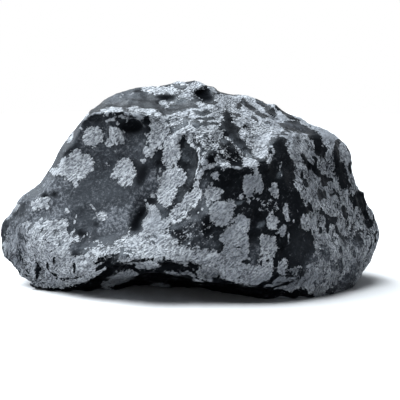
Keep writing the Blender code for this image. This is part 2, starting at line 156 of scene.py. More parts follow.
# Scars, hollows and pits of the front. Across and up of the middle, half width and half height,
# turn in degrees and depth, all as seen from in front.
HOLLOWS = (
    (-10.8, 15.7, 1.2, 0.9, -10, 0.5), (-13.4, 14.9, 1.5, 0.9, 5, 0.7), (-15.8, 16.5, 1, 0.7, 0, 0.6),
    (-18.2, 16.5, 1, 0.8, 20, 0.7), (-20.6, 16.1, 1.3, 0.7, 15, 0.6), (-6.8, 20.2, 1.8, 0.9, 4, 1.8),
    (1.4, 21.1, 2, 1.3, -20, 2.2), (-2.2, 8.6, 2, 5.8, -6, 0.9), (7.6, 9.4, 4.8, 1.7, -42, 1),
    (1.8, 8, 1.1, 1.7, -35, 1.8), (6.2, 3.8, 2.2, 3, 0, 0.5), (15.4, 6.6, 1.6, 2.3, 0, 1),
    (19.8, -10.4, 3.6, 3.2, -30, 0.8), (11.6, -5.6, 1.4, 3.8, 6, 0.6), (-12.2, -4.2, 1.6, 3, -28, 1.3),
    (-32.5, -13.8, 0.8, 1.9, 8, 1.2), (-29.2, 1.2, 0.7, 0.6, 0, 0.6), (-31, 0.8, 0.7, 0.5, 0, 0.5),
    (-25, -13.6, 0.9, 0.7, 20, 0.7), (-19.6, -12.4, 1.3, 0.6, 25, 0.7), (32.2, -8.4, 0.8, 1, 0, 0.8),
    (9.8, 19.2, 1, 1.7, 42, 0.7), (14.2, 17.6, 1, 2.4, 42, 0.5), (25.4, 7.2, 0.9, 2.2, 16, 0.7),
    (22.8, 6.2, 0.9, 3.6, 38, 0.8), (30, -4.4, 0.9, 1.6, 0, 0.6), (33.8, -4.6, 1, 2.8, 18, 0.9),
    (27, -15.6, 2.4, 1.8, 30, 0.8), (-7, -14.4, 9.5, 2.4, 2, 1.7), (-35.4, -10, 1, 3.2, -12, 0.7),
    (-28, -12.6, 2.6, 1.2, 18, 0.6), (-23, -15.4, 2, 1.2, 24, 0.7), (3.4, -16.2, 2.8, 0.9, -12, 0.4),
    (12, -16.6, 2.6, 0.6, 8, 0.5),
)

# Scars of the sides that are turned away: the way out from the heart as degrees round from the
# front and degrees up, then half width, half height, turn and depth.
HIDDEN_SCARS = (
    (180, 28, 12, 8, 12, 2.2), (214, 8, 9, 9, 0, 1.8), (150, 2, 10, 7, -20, 1.8),
    (122, 34, 8, 6, 30, 1.5), (230, 40, 8, 6, -15, 1.5), (108, 2, 5, 7, 0, 0.9),
    (192, 62, 9, 5, 0, 1.3), (248, 6, 5, 6, 0, 1), (172, -20, 9, 4, 5, 1.2), (135, 60, 6, 4, 50, 1),
    (200, 45, 5, 4, 35, 0.9), (160, 40, 6, 4, -30, 0.9),
)

# The broken surface is a mosaic of shallow scars: width of a scar and height of the edges
# between them, large and small.
SCARS = ((9.0, 1.1), (4.4, 0.75), (2.4, 0.34))
SCAR_MEAN = 0.35
SCAR_SEED = 10
SCAR_SPREAD = (0.1, 0.9)
STRAY_SIZE = 5.0
STRAY_REACH = 1.2
STRAY_SEED = 40
SWELL_SIZE = 7.0
SWELL_HEIGHT = 0.5
SWELL_SEED = 3
NOISE_TABLE = 32
NOISE_ORIGIN = 500.0

# Smooth glassy faces, the scoop at the left first: middle, half width and half height as seen
# from in front.
CALM_FACES = (
    (-20.0, 4.0, 11.5, 11.0), (-2.2, 8.0, 3.0, 5.6), (6.4, 3.2, 4.0, 4.2), (20.0, -9.6, 3.6, 4.2),
)
CALM_END = 1.15
CALM_FADE = 0.3
CALM_SHARE = 0.25

# Cell of the even skin drawn over the finished shape: it carries the fine detail.
SKIN_CELL = 0.40
CUT_SNAP = 0.02
FLOOR_REACH = -0.5

# Regions of the front as it is seen: across, up, half width, half height, turn in degrees, and a
# share from 0 to 1. First smoky glass: partly a haze of the glass, and partly painted sheen and
# painted light that lighten the glass where its reflections and its shading would leave it dark.
SMOKE_AND_SHEEN = (
    (-20, 2, 15, 12, 0, 0.28), (-18, 12, 8.5, 5.5, 0, 0.36), (-17, -4, 4.8, 3.2, 20, 1),
    (-13.6, -1.2, 2.6, 1.4, 28, 1), (-9.8, 3.6, 2.4, 3.8, -10, 0.8), (-30, -2, 6, 5, 0, 0.55),
    (-29.5, 2.6, 3.6, 3.2, 40, 0.75), (-31, -0.5, 9, 2.6, 45, 0.6), (-25.2, -9.6, 2, 1.6, 30, 0.7),
    (-1.4, -4.6, 4.6, 3.6, 20, 0.25), (1.4, -8.6, 3, 2, 0, 0.6), (0.8, 1.6, 1.8, 3.6, -14, 0.5),
    (20, -9.6, 3.4, 4.4, 10, 0.14), (28, -13, 8, 6, 20, 0.6), (27, -5, 6, 5, 0, 0.12),
    (-35.4, 0.6, 2.6, 1.6, 50, 0.9), (-19.4, 16.2, 1.6, 0.6, 0, 0.3), (8.9, 11.6, 3.2, 0.9, -45, 0.6),
    (19, 14.8, 3, 0.9, -14, 0.6), (11, -10.8, 1.8, 3.2, 0, 0.7), (31.6, -8, 1.4, 2, 0, 0.3),
    (-36.6, -7, 3.6, 5, 0, 0.5), (-15, 21, 4.6, 1.6, 12, 0.45), (-13.2, 0.2, 2.2, 1.6, 30, 0.9),
    (-14.6, -2, 1.6, 2.2, -32, 0.9), (-22.5, 1.6, 1.2, 2.6, 20, 0.5), (-19.6, -0.6, 3.2, 1.4, -35, 0.6),
)
# Painted shade: pits, cracks and recesses of pure black, without smoke and with almost no glint.
DEEP_SHADE = (
    (0.6, 20.7, 2.4, 1.4, -15, 1), (-6.9, 20.6, 2.3, 0.7, 0, 1), (-12.4, 21.8, 1, 0.35, 10, 1),
    (5.6, 15.8, 1.6, 2.2, 20, 0.7), (2.2, 8.4, 1.3, 1.8, -35, 1), (7.2, 12.6, 2.4, 0.9, -45, 0.5),
    (23.4, 11.6, 1.6, 2.4, 10, 0.8), (16.6, 9.4, 1.5, 3.4, 20, 0.7), (-12.4, -3.7, 0.9, 3.3, -32, 1),
    (-9.6, -0.3, 1.3, 0.9, 0, 0.9), (-11.6, 5, 1.3, 2.4, -20, 0.8), (-13.4, 7, 1.8, 1.2, -30, 0.6),
    (6.6, 8.6, 3.4, 2, -35, 0.9), (-29.2, 1.2, 1, 0.8, 0, 1), (-31, 0.8, 1, 0.8, 0, 1),
    (-26.4, 9.6, 1.6, 0.5, 45, 1), (-14, 14.6, 2.6, 1.6, 0, 0.8), (-8.4, 7.6, 1.2, 0.8, 30, 1),
    (-23.6, -6.8, 1.3, 0.7, -10, 0.9), (-20.8, -4.8, 0.8, 0.6, 20, 0.9), (-13, -5.2, 1.3, 1.4, -30, 1),
    (1.4, -5.4, 1.4, 2.2, 0, 0.9), (-3.6, -7, 1.6, 1.4, -10, 0.8),
)
# Dull flakes: partly a darker tone of the crystal, and partly painted shade under the arch, in hollows
# and on some faces to tone down their light.
DULL_AND_SHADE = (
    (-37.4, -8.6, 1.8, 5, -4, 0.75), (-31, -16.4, 4, 1.4, 0, 0.5), (-25.6, -10, 1.4, 2, 30, 0.6),
    (-20.4, -2.8, 1.8, 1.4, 0, 0.3), (25.6, -10, 2.2, 2.6, 0, 0.4), (31.4, -10.4, 1.4, 4, -10, 0.4),
    (19.4, -14.6, 2.4, 1.6, 0, 0.5), (34.6, -5, 0.8, 3.6, 20, 0.4), (13.6, -1.2, 2.6, 2.4, 0, 0.35),
    (-0.6, -7.4, 3.6, 2.2, 0, 0.4), (-14, 16.6, 3, 0.8, 0, 0.4), (-10.5, -15.6, 10, 3.2, 4, 0.55),
    (10.6, 3, 3, 4.6, 0, 0.6), (4.3, -3, 4.2, 4.4, 0, 0.5), (7, -11, 5, 7, 0, 0.4),
    (27, 6, 9, 8, 5, 0.3), (4, 18, 10, 5, -8, 0.25), (17, 16.4, 8, 4, -25, 0.5),
    (-37, -8, 3.4, 7, 0, 0.7), (-8.6, -4.6, 2.8, 4.4, 0, 0.55), (-34, -5.2, 4, 2, 30, 0.5),
    (13.2, 11.6, 2.2, 2.6, 0, 0.5), (17.2, 12.4, 3.4, 2.8, -20, 0.6), (25.4, 12.6, 3.8, 2.6, -20, 0.7),
    (-15, 16.3, 5.4, 1.2, 0, 0.6), (8.4, -3, 2.6, 2.6, 0, 0.8), (0.4, -10.6, 2.8, 2.6, 0, 0.5),
    (14.6, 2.2, 1.8, 2.2, 0, 0.5), (16.6, -6.2, 2, 2.4, 0, 0.6), (21.6, -13.4, 1.8, 3.4, -20, 0.7),
    (31.2, -8.6, 2, 2.8, 0, 0.7), (17, -16, 8, 2.6, 4, 0.8), (-31.8, -1, 2.4, 2, 0, 0.35),
)
# Broken ground, where glass and crystal are crumbled together.
BROKEN = (
    (0.5, 12, 4.4, 3.2, -20, 1), (-6, 16, 3.6, 2.4, 0, 0.7), (6, 18, 6.6, 3.4, -15, 0.6),
    (-2, 21.4, 5.6, 2.4, 0, 0.7), (-30, -11, 8.5, 7, 0, 0.35), (-33.5, -14.5, 4.6, 4, 0, 0.5),
    (26.5, -10.5, 8, 9.5, 0, 0.6), (31, -3, 5, 10.5, 10, 0.8), (24, 4, 7, 9.5, 0, 0.7),
    (13.6, -1, 3.8, 3.2, 0, 1), (-1.4, -6.2, 6.6, 4.8, -10, 1), (-16, -9.6, 9, 3, 18, 0.55),
    (19.6, -14.6, 4, 3.2, 0, 1), (16, 13, 7, 3.2, -20, 0.5), (-37, -8, 3.4, 7, 0, 0.8),
    (10, 12.4, 5, 3.6, -30, 0.5), (-13, 17.2, 7.5, 1.8, -3, 0.7), (4, -12, 9, 6, 0, 0.3),
    (-24, -7.2, 3.6, 2.6, 0, 0.9), (-8, 15, 3.4, 3.2, 0, 0.4), (6, 9.4, 3.8, 3.4, -30, 1),
    (-13, 20, 3.6, 1.4, 5, 0.95), (-16.2, 20, 1.6, 1.4, 40, 0.95),
)
# Width over which a region fades in from its border, and the same for the black regions of painted deep
# shade.
REGION_FADE = 1.6
DEEP_SHADE_FADE = 0.5
# How deep a flake's inside counts, from broken ground, where its ragged edge eats right through
# it, to firm ground, where it stays whole.
BROKEN_HOLD = 0.15
BROKEN_FIRM = 3.0

# Outlines of the marks are bent by soft noise: size and reach of the bends.
BENDS = ((2.6, 0.3), (1.1, 0.25))
MARK_SEED = 90
# A mark narrower than this keeps its shape against the fraying of its edge.
STEADY = 0.9
# Glass reaches this far past its marks. A point far from any mark is this far outside.
GLASS_GAIN = 0.2
FAR_OUTSIDE = 9.0
LEAST_SLOPE = 1e-6

# Flakes of the sides that the picture doesn't show: how many are tried, the room that each keeps
# from the next, and the least and greatest radius.
STRAY_FLAKES = 2600
STRAY_ROOM = 2.1
STRAY_RADIUS = (0.6, 2.6)
STRAY_FLAKE_SEED = 21
STRAY_BEND_SEED = 100

# A point counts as seen from in front if nothing stands nearer by more than this.
SEEN_GAP = 0.5
SEEN_ROUNDS = 8
RIDGE_ROUNDS = 2

# Fine relief, width of the lumps and height: grain on the flakes, ripples on the glass.
FLAKE_GRAIN = ((1.5, 0.08), (0.8, 0.11))
GLASS_RIPPLE = (3.2, 0.04)
GRAIN_SEED = 70
# Width in which the grain fades out at a flake's edge, and height over the floor in which the
# relief grows to full.
GRAIN_FADE = 0.6
FLOOR_FADE = 0.6
# Chips of the broken ground, in the same way, and the least share of them anywhere.
CHIPS = ((2.3, 0.48), (1.2, 0.28))
CHIP_LEAST = 0.12
CHIP_SEED = 30
# Shares of broken and of dull ground on the sides that the picture doesn't show.
HIDDEN_BROKEN = 0.5
HIDDEN_DULL = 0.4

COS_E = math.cos(VIEW_ELEVATION)
SIN_E = math.sin(VIEW_ELEVATION)
EYE = np.array((0.0, -VIEW_DISTANCE * COS_E, VIEW_HEIGHT + VIEW_DISTANCE * SIN_E))
LOOK = np.array((0.0, COS_E, -SIN_E))
UPRIGHT = np.array((0.0, SIN_E, COS_E))

# Pale flakes of the front, as across, up, half width, half height and turn in degrees, all as seen
# from in front. The first table is the pale ground, which GLASS is let into and FLAKES lie on.
GROUND = (
    # top
    (-8, 22, 2.8, 0.9, 5), (-4.6, 21.2, 1.5, 0.9, 0), (-2.4, 21.5, 2.4, 1.2, 0),
    (-1.2, 22.8, 2, 0.6, -4), (-4.4, 23.4, 1.6, 0.5, 5), (-10.6, 22.1, 1.2, 0.5, 10),
    (3.4, 17, 5, 3.4, 0), (1, 13.4, 3.8, 3.6, -30), (5.4, 19.4, 4.6, 1.6, -14),
    (8.6, 17.2, 3, 2.8, -30), (2.6, 10.6, 2.2, 1.6, 10), (9.6, 19.8, 3.4, 1.4, -8),
    (11.6, 17, 4, 3, -32), (13, 14.8, 3.8, 1.7, -10), (12.8, 19.2, 2.6, 1.4, -25),
    (18.4, 12.9, 3, 0.9, -6), (17, 16.6, 3.4, 1, -34), (21.4, 15, 3, 0.7, -16),
    # right face
    (21.4, 9.8, 4.6, 3.4, -25), (20.8, 5, 2.4, 5.6, 12), (26.2, 9, 3.2, 4.4, 0),
    (25.2, 12.8, 3.2, 1.4, -22), (24.4, 2.4, 4.2, 5.2, 15), (28.8, 8.6, 1.6, 4.2, 6),
    (30.7, 3.6, 1.2, 3.4, 10), (25, -3.6, 3.8, 5, 10), (29.4, -2.6, 3.8, 5.6, 10),
    (21.9, -4.6, 2, 1.9, -15), (26.2, -9.8, 3.4, 4.6, 0), (32, -9, 4.4, 6, 0), (24.2, -15.8, 4, 3.4, 0),
    (28.4, -12.6, 4.2, 4.4, 0), (31.8, -14, 2.2, 3.6, -20), (19.2, -17.2, 2.4, 0.9, 14),
    (19.2, -14.6, 1.3, 1.6, -25),
    # lower front
    (7, -9, 3.1, 3.6, 0), (7.2, -12.8, 3.2, 2.9, 0), (2.6, -12.8, 2.8, 2.6, 0),
    (1.8, -14.8, 2.2, 1.1, 0), (5.8, -14.8, 2.2, 1.2, 0), (11.2, -14.6, 3.4, 1.9, 8),
    (9.8, -16.2, 1.9, 1.1, 0), (3, -10.8, 1.9, 1, 0), (13.7, -9.4, 1.8, 2.5, 0),
    (13.2, -12.6, 1.8, 1.5, 0), (12.7, -7.4, 0.6, 0.6, 0), (8, -5.2, 1.9, 2.2, 0),
    # ledge
    (-22.4, -11.6, 2.8, 1.7, 30), (-22.6, -13.4, 2.3, 1.9, 45), (-19.4, -10, 2.4, 1.1, 15),
    (-17.8, -10.8, 2.2, 0.9, 18), (-15, -8.6, 2.8, 1.5, 30), (-13.4, -6.8, 1.4, 1.3, 45),
    (-11, -8.8, 3.2, 2.8, 0), (-8.4, -9, 3.2, 2.9, 0), (-14.6, -11.5, 2.5, 1, 8),
    (-5.6, -9.8, 2.8, 1.9, 0), (-2, -10.6, 2.8, 1.8, -10), (1.2, -11.8, 2, 2.1, 0),
    (-9.7, -4.3, 2, 3.6, 2), (-7.3, -5.6, 1, 2, 0),
    # lower left lobe
    (-30.2, -7.6, 3.9, 3.6, 0), (-29.6, -12.2, 5.2, 3.9, 0), (-33.6, -9.6, 2.3, 3.8, 0),
    (-33.5, -14, 2.3, 2.7, 0), (-26.8, -9.4, 1.8, 2.8, 0), (-27, -13.2, 3.2, 2.8, 0),
    (-24.6, -16, 3, 0.9, 12), (-20.6, -13.5, 2, 0.6, 34), (-30, -16.7, 4.4, 0.9, 0),
    (-35.4, -5.8, 2.6, 0.8, 27), (-33, -4.6, 1.6, 0.5, 40), (-28.2, -4.8, 2, 1.1, 0),
    (-37.6, -8.6, 1.7, 3.4, -8), (-36.6, -12.4, 1.8, 1.6, -40),
)
GLASS = (
    # top
    (-3.8, 22.6, 1.3, 0.4, 8), (-5.6, 20.4, 0.9, 0.55, 0), (-7, 20.7, 2.1, 0.4, -5),
    (0.7, 20.8, 2.2, 1.3, -15), (-12.4, -4.2, 0.8, 3, -31), (5.5, 16.6, 0.8, 1.1, 20),
    (6, 14.5, 2.2, 1.1, -25), (7.4, 13.4, 1.1, 1.2, -40), (1, 12.7, 1, 0.4, 25),
    (-0.9, 15.3, 0.7, 0.7, 0), (-2.7, 15.3, 0.5, 0.35, 0), (1, 17.4, 1.1, 0.5, 0),
    (-0.8, 17.5, 0.8, 0.35, 0), (1, 16.2, 2, 0.25, 2), (1.8, 15.4, 1.9, 0.22, 3),
    (2, 19.6, 1.6, 0.4, 0), (5, 10.6, 1.1, 1.3, 0), (2.3, 8.8, 0.9, 1.4, -35),
    (-0.6, 11.4, 0.8, 0.5, -20), (0.6, 10.3, 0.8, 0.25, -20), (8.6, 20, 0.35, 0.7, 30),
    (9.2, 19.3, 0.8, 0.35, -45), (10.4, 18.5, 0.9, 0.35, -25), (11.5, 17.5, 1.9, 0.5, -32),
    (12.9, 17, 1.1, 0.3, -25), (7.8, 19.1, 0.5, 0.7, 0), (12.7, 19.2, 2, 0.6, -45),
    (12.6, 20.2, 1.4, 0.4, -35), (14, 17.8, 1.5, 0.55, -42), (19.2, 14.8, 2.9, 0.75, -14),
    (17.5, 15, 1.1, 0.7, 0), (17.7, 17.2, 2.8, 0.4, -27), (16.9, 13.4, 0.9, 0.4, -25),
    (9.1, 14.5, 0.4, 0.55, 0), (10, 13.9, 0.5, 0.3, -30), (7.4, 16.9, 0.7, 0.35, -20),
    (10.8, 16.2, 0.9, 0.25, -35), (13.6, 15.5, 0.6, 0.25, -10), (22, 13.6, 1.2, 0.45, 0),
    # black column before the right face
    (16.3, 9.4, 1.1, 3.2, 20), (17.6, 5.4, 1.2, 3.2, 4), (17.6, 1.4, 1.5, 3, 18),
    (19, -1, 1.8, 1.6, -20), (19.2, -4, 0.8, 2.6, -8), (20.8, -1.9, 1.2, 0.6, -20),
    # right face
    (22.9, 12.8, 1.3, 0.7, -30), (23.6, 11.5, 0.6, 1.4, 15), (23.7, 10.4, 0.5, 1.6, 0),
    (24.6, 9.6, 0.7, 1, 0), (27.5, 11.3, 0.45, 0.9, 0), (27.2, 9.6, 0.5, 1.2, 0), (27.4, 8, 0.45, 1, 0),
    (28.2, 6, 1, 1.4, 0), (28.7, 4.6, 0.8, 1.6, 0), (28.8, 3.3, 0.6, 0.8, 0),
    (28.6, 11.7, 0.8, 0.25, -40), (29.4, 10.5, 0.3, 1, 25), (30.1, 6.4, 0.22, 1.3, 8),
    (29.9, 2.6, 0.2, 1.2, -8), (21, 8.3, 0.45, 1, 40), (21.9, 7, 1.1, 0.75, -40),
    (23, 6.2, 0.9, 0.4, -35), (23.2, 8.2, 0.6, 0.3, -45), (23.4, 7.3, 0.2, 1.2, 0),
    (24, 5.2, 0.8, 0.45, -45), (25, 4.5, 0.9, 0.45, -45), (25.9, 4.3, 0.6, 0.3, -20),
    (25, 3.4, 0.9, 0.28, -52), (26.4, 3.7, 0.4, 0.12, -40), (20.8, 4.8, 0.3, 1.1, 25),
    (21.2, 3.4, 0.42, 0.9, 0), (24.3, 1.1, 0.5, 1.2, 0), (25, 1, 0.25, 0.8, 0),
    (26.9, 1.8, 0.7, 0.2, -45), (27.6, 1, 0.8, 0.25, -50), (28, 0.4, 0.15, 0.6, 0),
    (26.6, 0.8, 0.45, 0.25, 20), (32.2, 0.7, 0.8, 1.2, 0), (32, -0.6, 1.1, 0.9, -40),
    (30.5, 0.2, 0.32, 1.1, 20), (30.9, -0.7, 0.8, 0.5, -40), (32.9, -1.6, 0.8, 1.4, 25),
    (33.5, -3.2, 0.75, 1.3, 15), (33.8, -4.7, 0.7, 0.9, 0), (28.9, -1.8, 0.5, 0.9, 0),
    (29, -2.8, 0.45, 0.8, 8), (29.6, -4.4, 0.25, 1, -10), (30.4, -5.3, 0.2, 1.3, -20),
    (31, -6, 0.6, 0.2, -40), (32.3, -6.2, 0.7, 0.25, -20), (30.6, -1.8, 0.18, 0.8, 0),
    (24.4, -2, 0.2, 0.8, 0), (24.9, -2.7, 0.5, 0.28, -50), (25.5, -3.3, 0.6, 0.4, -40),
    (26.2, -3.5, 0.9, 0.3, 0), (26.4, -4.2, 0.6, 0.7, 0), (25.5, -4.6, 0.28, 0.7, 0),
    (25.2, -5.6, 0.22, 0.8, 10), (27.2, -3.6, 0.5, 0.2, 10), (22.2, -1.4, 0.3, 1, 30),
    (23.7, -4.1, 0.25, 0.25, 0), (23.9, -5.8, 0.22, 0.7, 0), (27.1, -5.8, 0.28, 0.9, 25),
    (27.8, -6.8, 0.5, 0.18, -50), (28.3, -7.4, 0.5, 0.22, -45), (28.7, -8.4, 0.28, 0.7, 10),
    (29.3, -7.8, 0.5, 0.32, 0), (28.3, -9.9, 0.35, 0.5, 0), (32.1, -7.9, 0.5, 0.6, 0),
    (32, -8.8, 0.7, 0.5, 15), (31.4, -6.9, 0.4, 0.6, 0), (24.7, -9.4, 0.5, 0.4, 0),
    (25.1, -10.7, 0.9, 0.9, -30), (25.6, -11.6, 0.5, 0.5, 0), (24.3, -11, 0.22, 0.9, 0),
    (26.6, -12.3, 0.6, 0.2, 20), (26.9, -13.6, 0.7, 0.6, 0), (28.2, -13.2, 0.4, 1.5, 5),
    (30.8, -13.8, 0.6, 0.9, 30), (30.5, -15, 0.4, 1, 25), (31.7, -12.6, 0.32, 1, 30),
    (31, -10.8, 0.3, 0.8, 0), (28.4, -16.9, 1.1, 0.7, 42), (31.4, -8.2, 0.8, 1.2, 0),
    (29.2, -16.2, 1, 1.3, -20), (26.2, -18.4, 1.4, 0.3, 25), (24.7, -14.9, 0.9, 0.15, 15),
    (24.6, -16.4, 0.5, 0.35, 0), (23, -16.6, 0.2, 0.7, 0), (20.3, -9.6, 2.3, 3.3, 10),
    (18.2, -12.2, 1.2, 0.9, 0), (21.6, -11.9, 1.1, 1, 0), (21.7, -7.8, 0.4, 1.8, 35),
    (20.8, -14.2, 0.5, 1.3, -20), (17.4, -15.4, 0.9, 1.2, 0), (23.3, -12, 0.2, 0.9, 10),
    (35.2, -7.4, 0.2, 1.2, 0), (34.4, -8.8, 0.1, 1.4, -14), (33.6, -10.6, 0.1, 1.6, -22),
    (33.1, -12.8, 0.1, 1.4, -25), (34.2, -11.2, 0.08, 1.4, -22), (22.1, -6.8, 0.15, 0.9, 5),
    # lower front
    (10.9, -10, 1, 2.1, 0), (9.3, -12.3, 0.7, 0.35, 10), (12, -12.6, 0.2, 0.6, 0),
    (13.2, -12.3, 0.3, 0.18, 0), (7.7, -9.5, 0.6, 0.2, 40), (7.6, -15.7, 0.7, 0.3, 0),
    (15, -13.2, 0.45, 1.9, 0), (4.4, -9.5, 0.5, 1, -10), (6.2, -5.2, 0.9, 0.16, 48),
    (3, -8.8, 1.6, 0.9, -10), (10.4, -5.6, 0.5, 1.8, 0),
    # lower left lobe and ledge
    (-38.9, -5.6, 0.25, 0.6, 30), (-38.9, -6.9, 0.2, 0.4, 0), (-33.6, -5, 0.25, 1.5, -35),
    (-36.4, -7.2, 0.1, 0.7, 0), (-36, -7.5, 0.08, 0.6, 0), (-35.5, -7.7, 0.12, 1, 0),
    (-35, -7.8, 0.08, 0.9, 0), (-34.6, -8.5, 0.08, 0.8, 0), (-36, -10.6, 0.1, 1.6, 8),
    (-32.5, -13.8, 0.5, 1.5, 4), (-32.6, -15.3, 0.3, 0.5, 0), (-29.2, -15.1, 0.7, 0.16, -30),
    (-28.6, -15.8, 0.3, 0.14, 0), (-30.3, -13.4, 0.18, 0.9, 10), (-29, -12.2, 0.18, 0.8, -10),
    (-25.1, -13.3, 0.28, 0.9, 0), (-25.2, -14.3, 0.3, 0.5, 0), (-26.3, -15.6, 1.2, 0.12, 0),
    (-24, -15.2, 1.6, 0.1, 22), (-16.4, -11.6, 2.2, 0.5, 15), (-19.4, -13.2, 1.8, 0.35, 35),
    (-30.5, -8.3, 0.5, 0.14, 40), (-30.8, -7.6, 0.4, 0.12, 10), (-35.4, -12.4, 0.12, 1, 10),
    (-34.8, -13.9, 0.12, 1.2, 35), (-34.5, -15.3, 0.1, 1.2, 40), (-31.6, -5.8, 0.6, 0.1, 40),
    (-28.2, -6, 0.5, 0.1, 35), (-29.6, -10.4, 0.5, 0.12, 40), (-33.2, -11, 0.4, 0.1, 50),
    (-28, -8.8, 0.1, 0.5, 0), (-31.4, -16.6, 0.8, 0.12, 10), (-19.8, -12.2, 1.6, 0.16, 38),
    (-15.5, -10.1, 0.6, 0.3, -20), (-23.9, -9.5, 2.1, 1.3, 35), (-25.4, -6.4, 1.6, 1, -40),
    (-9.2, -8.5, 0.25, 0.35, 0), (-9, -7.2, 0.5, 0.2, -30), (-31.6, -4.4, 0.8, 0.3, 20),
    (-12.8, -5.8, 1, 0.8, 20), (-3.4, -8, 1.4, 0.8, -20),
)
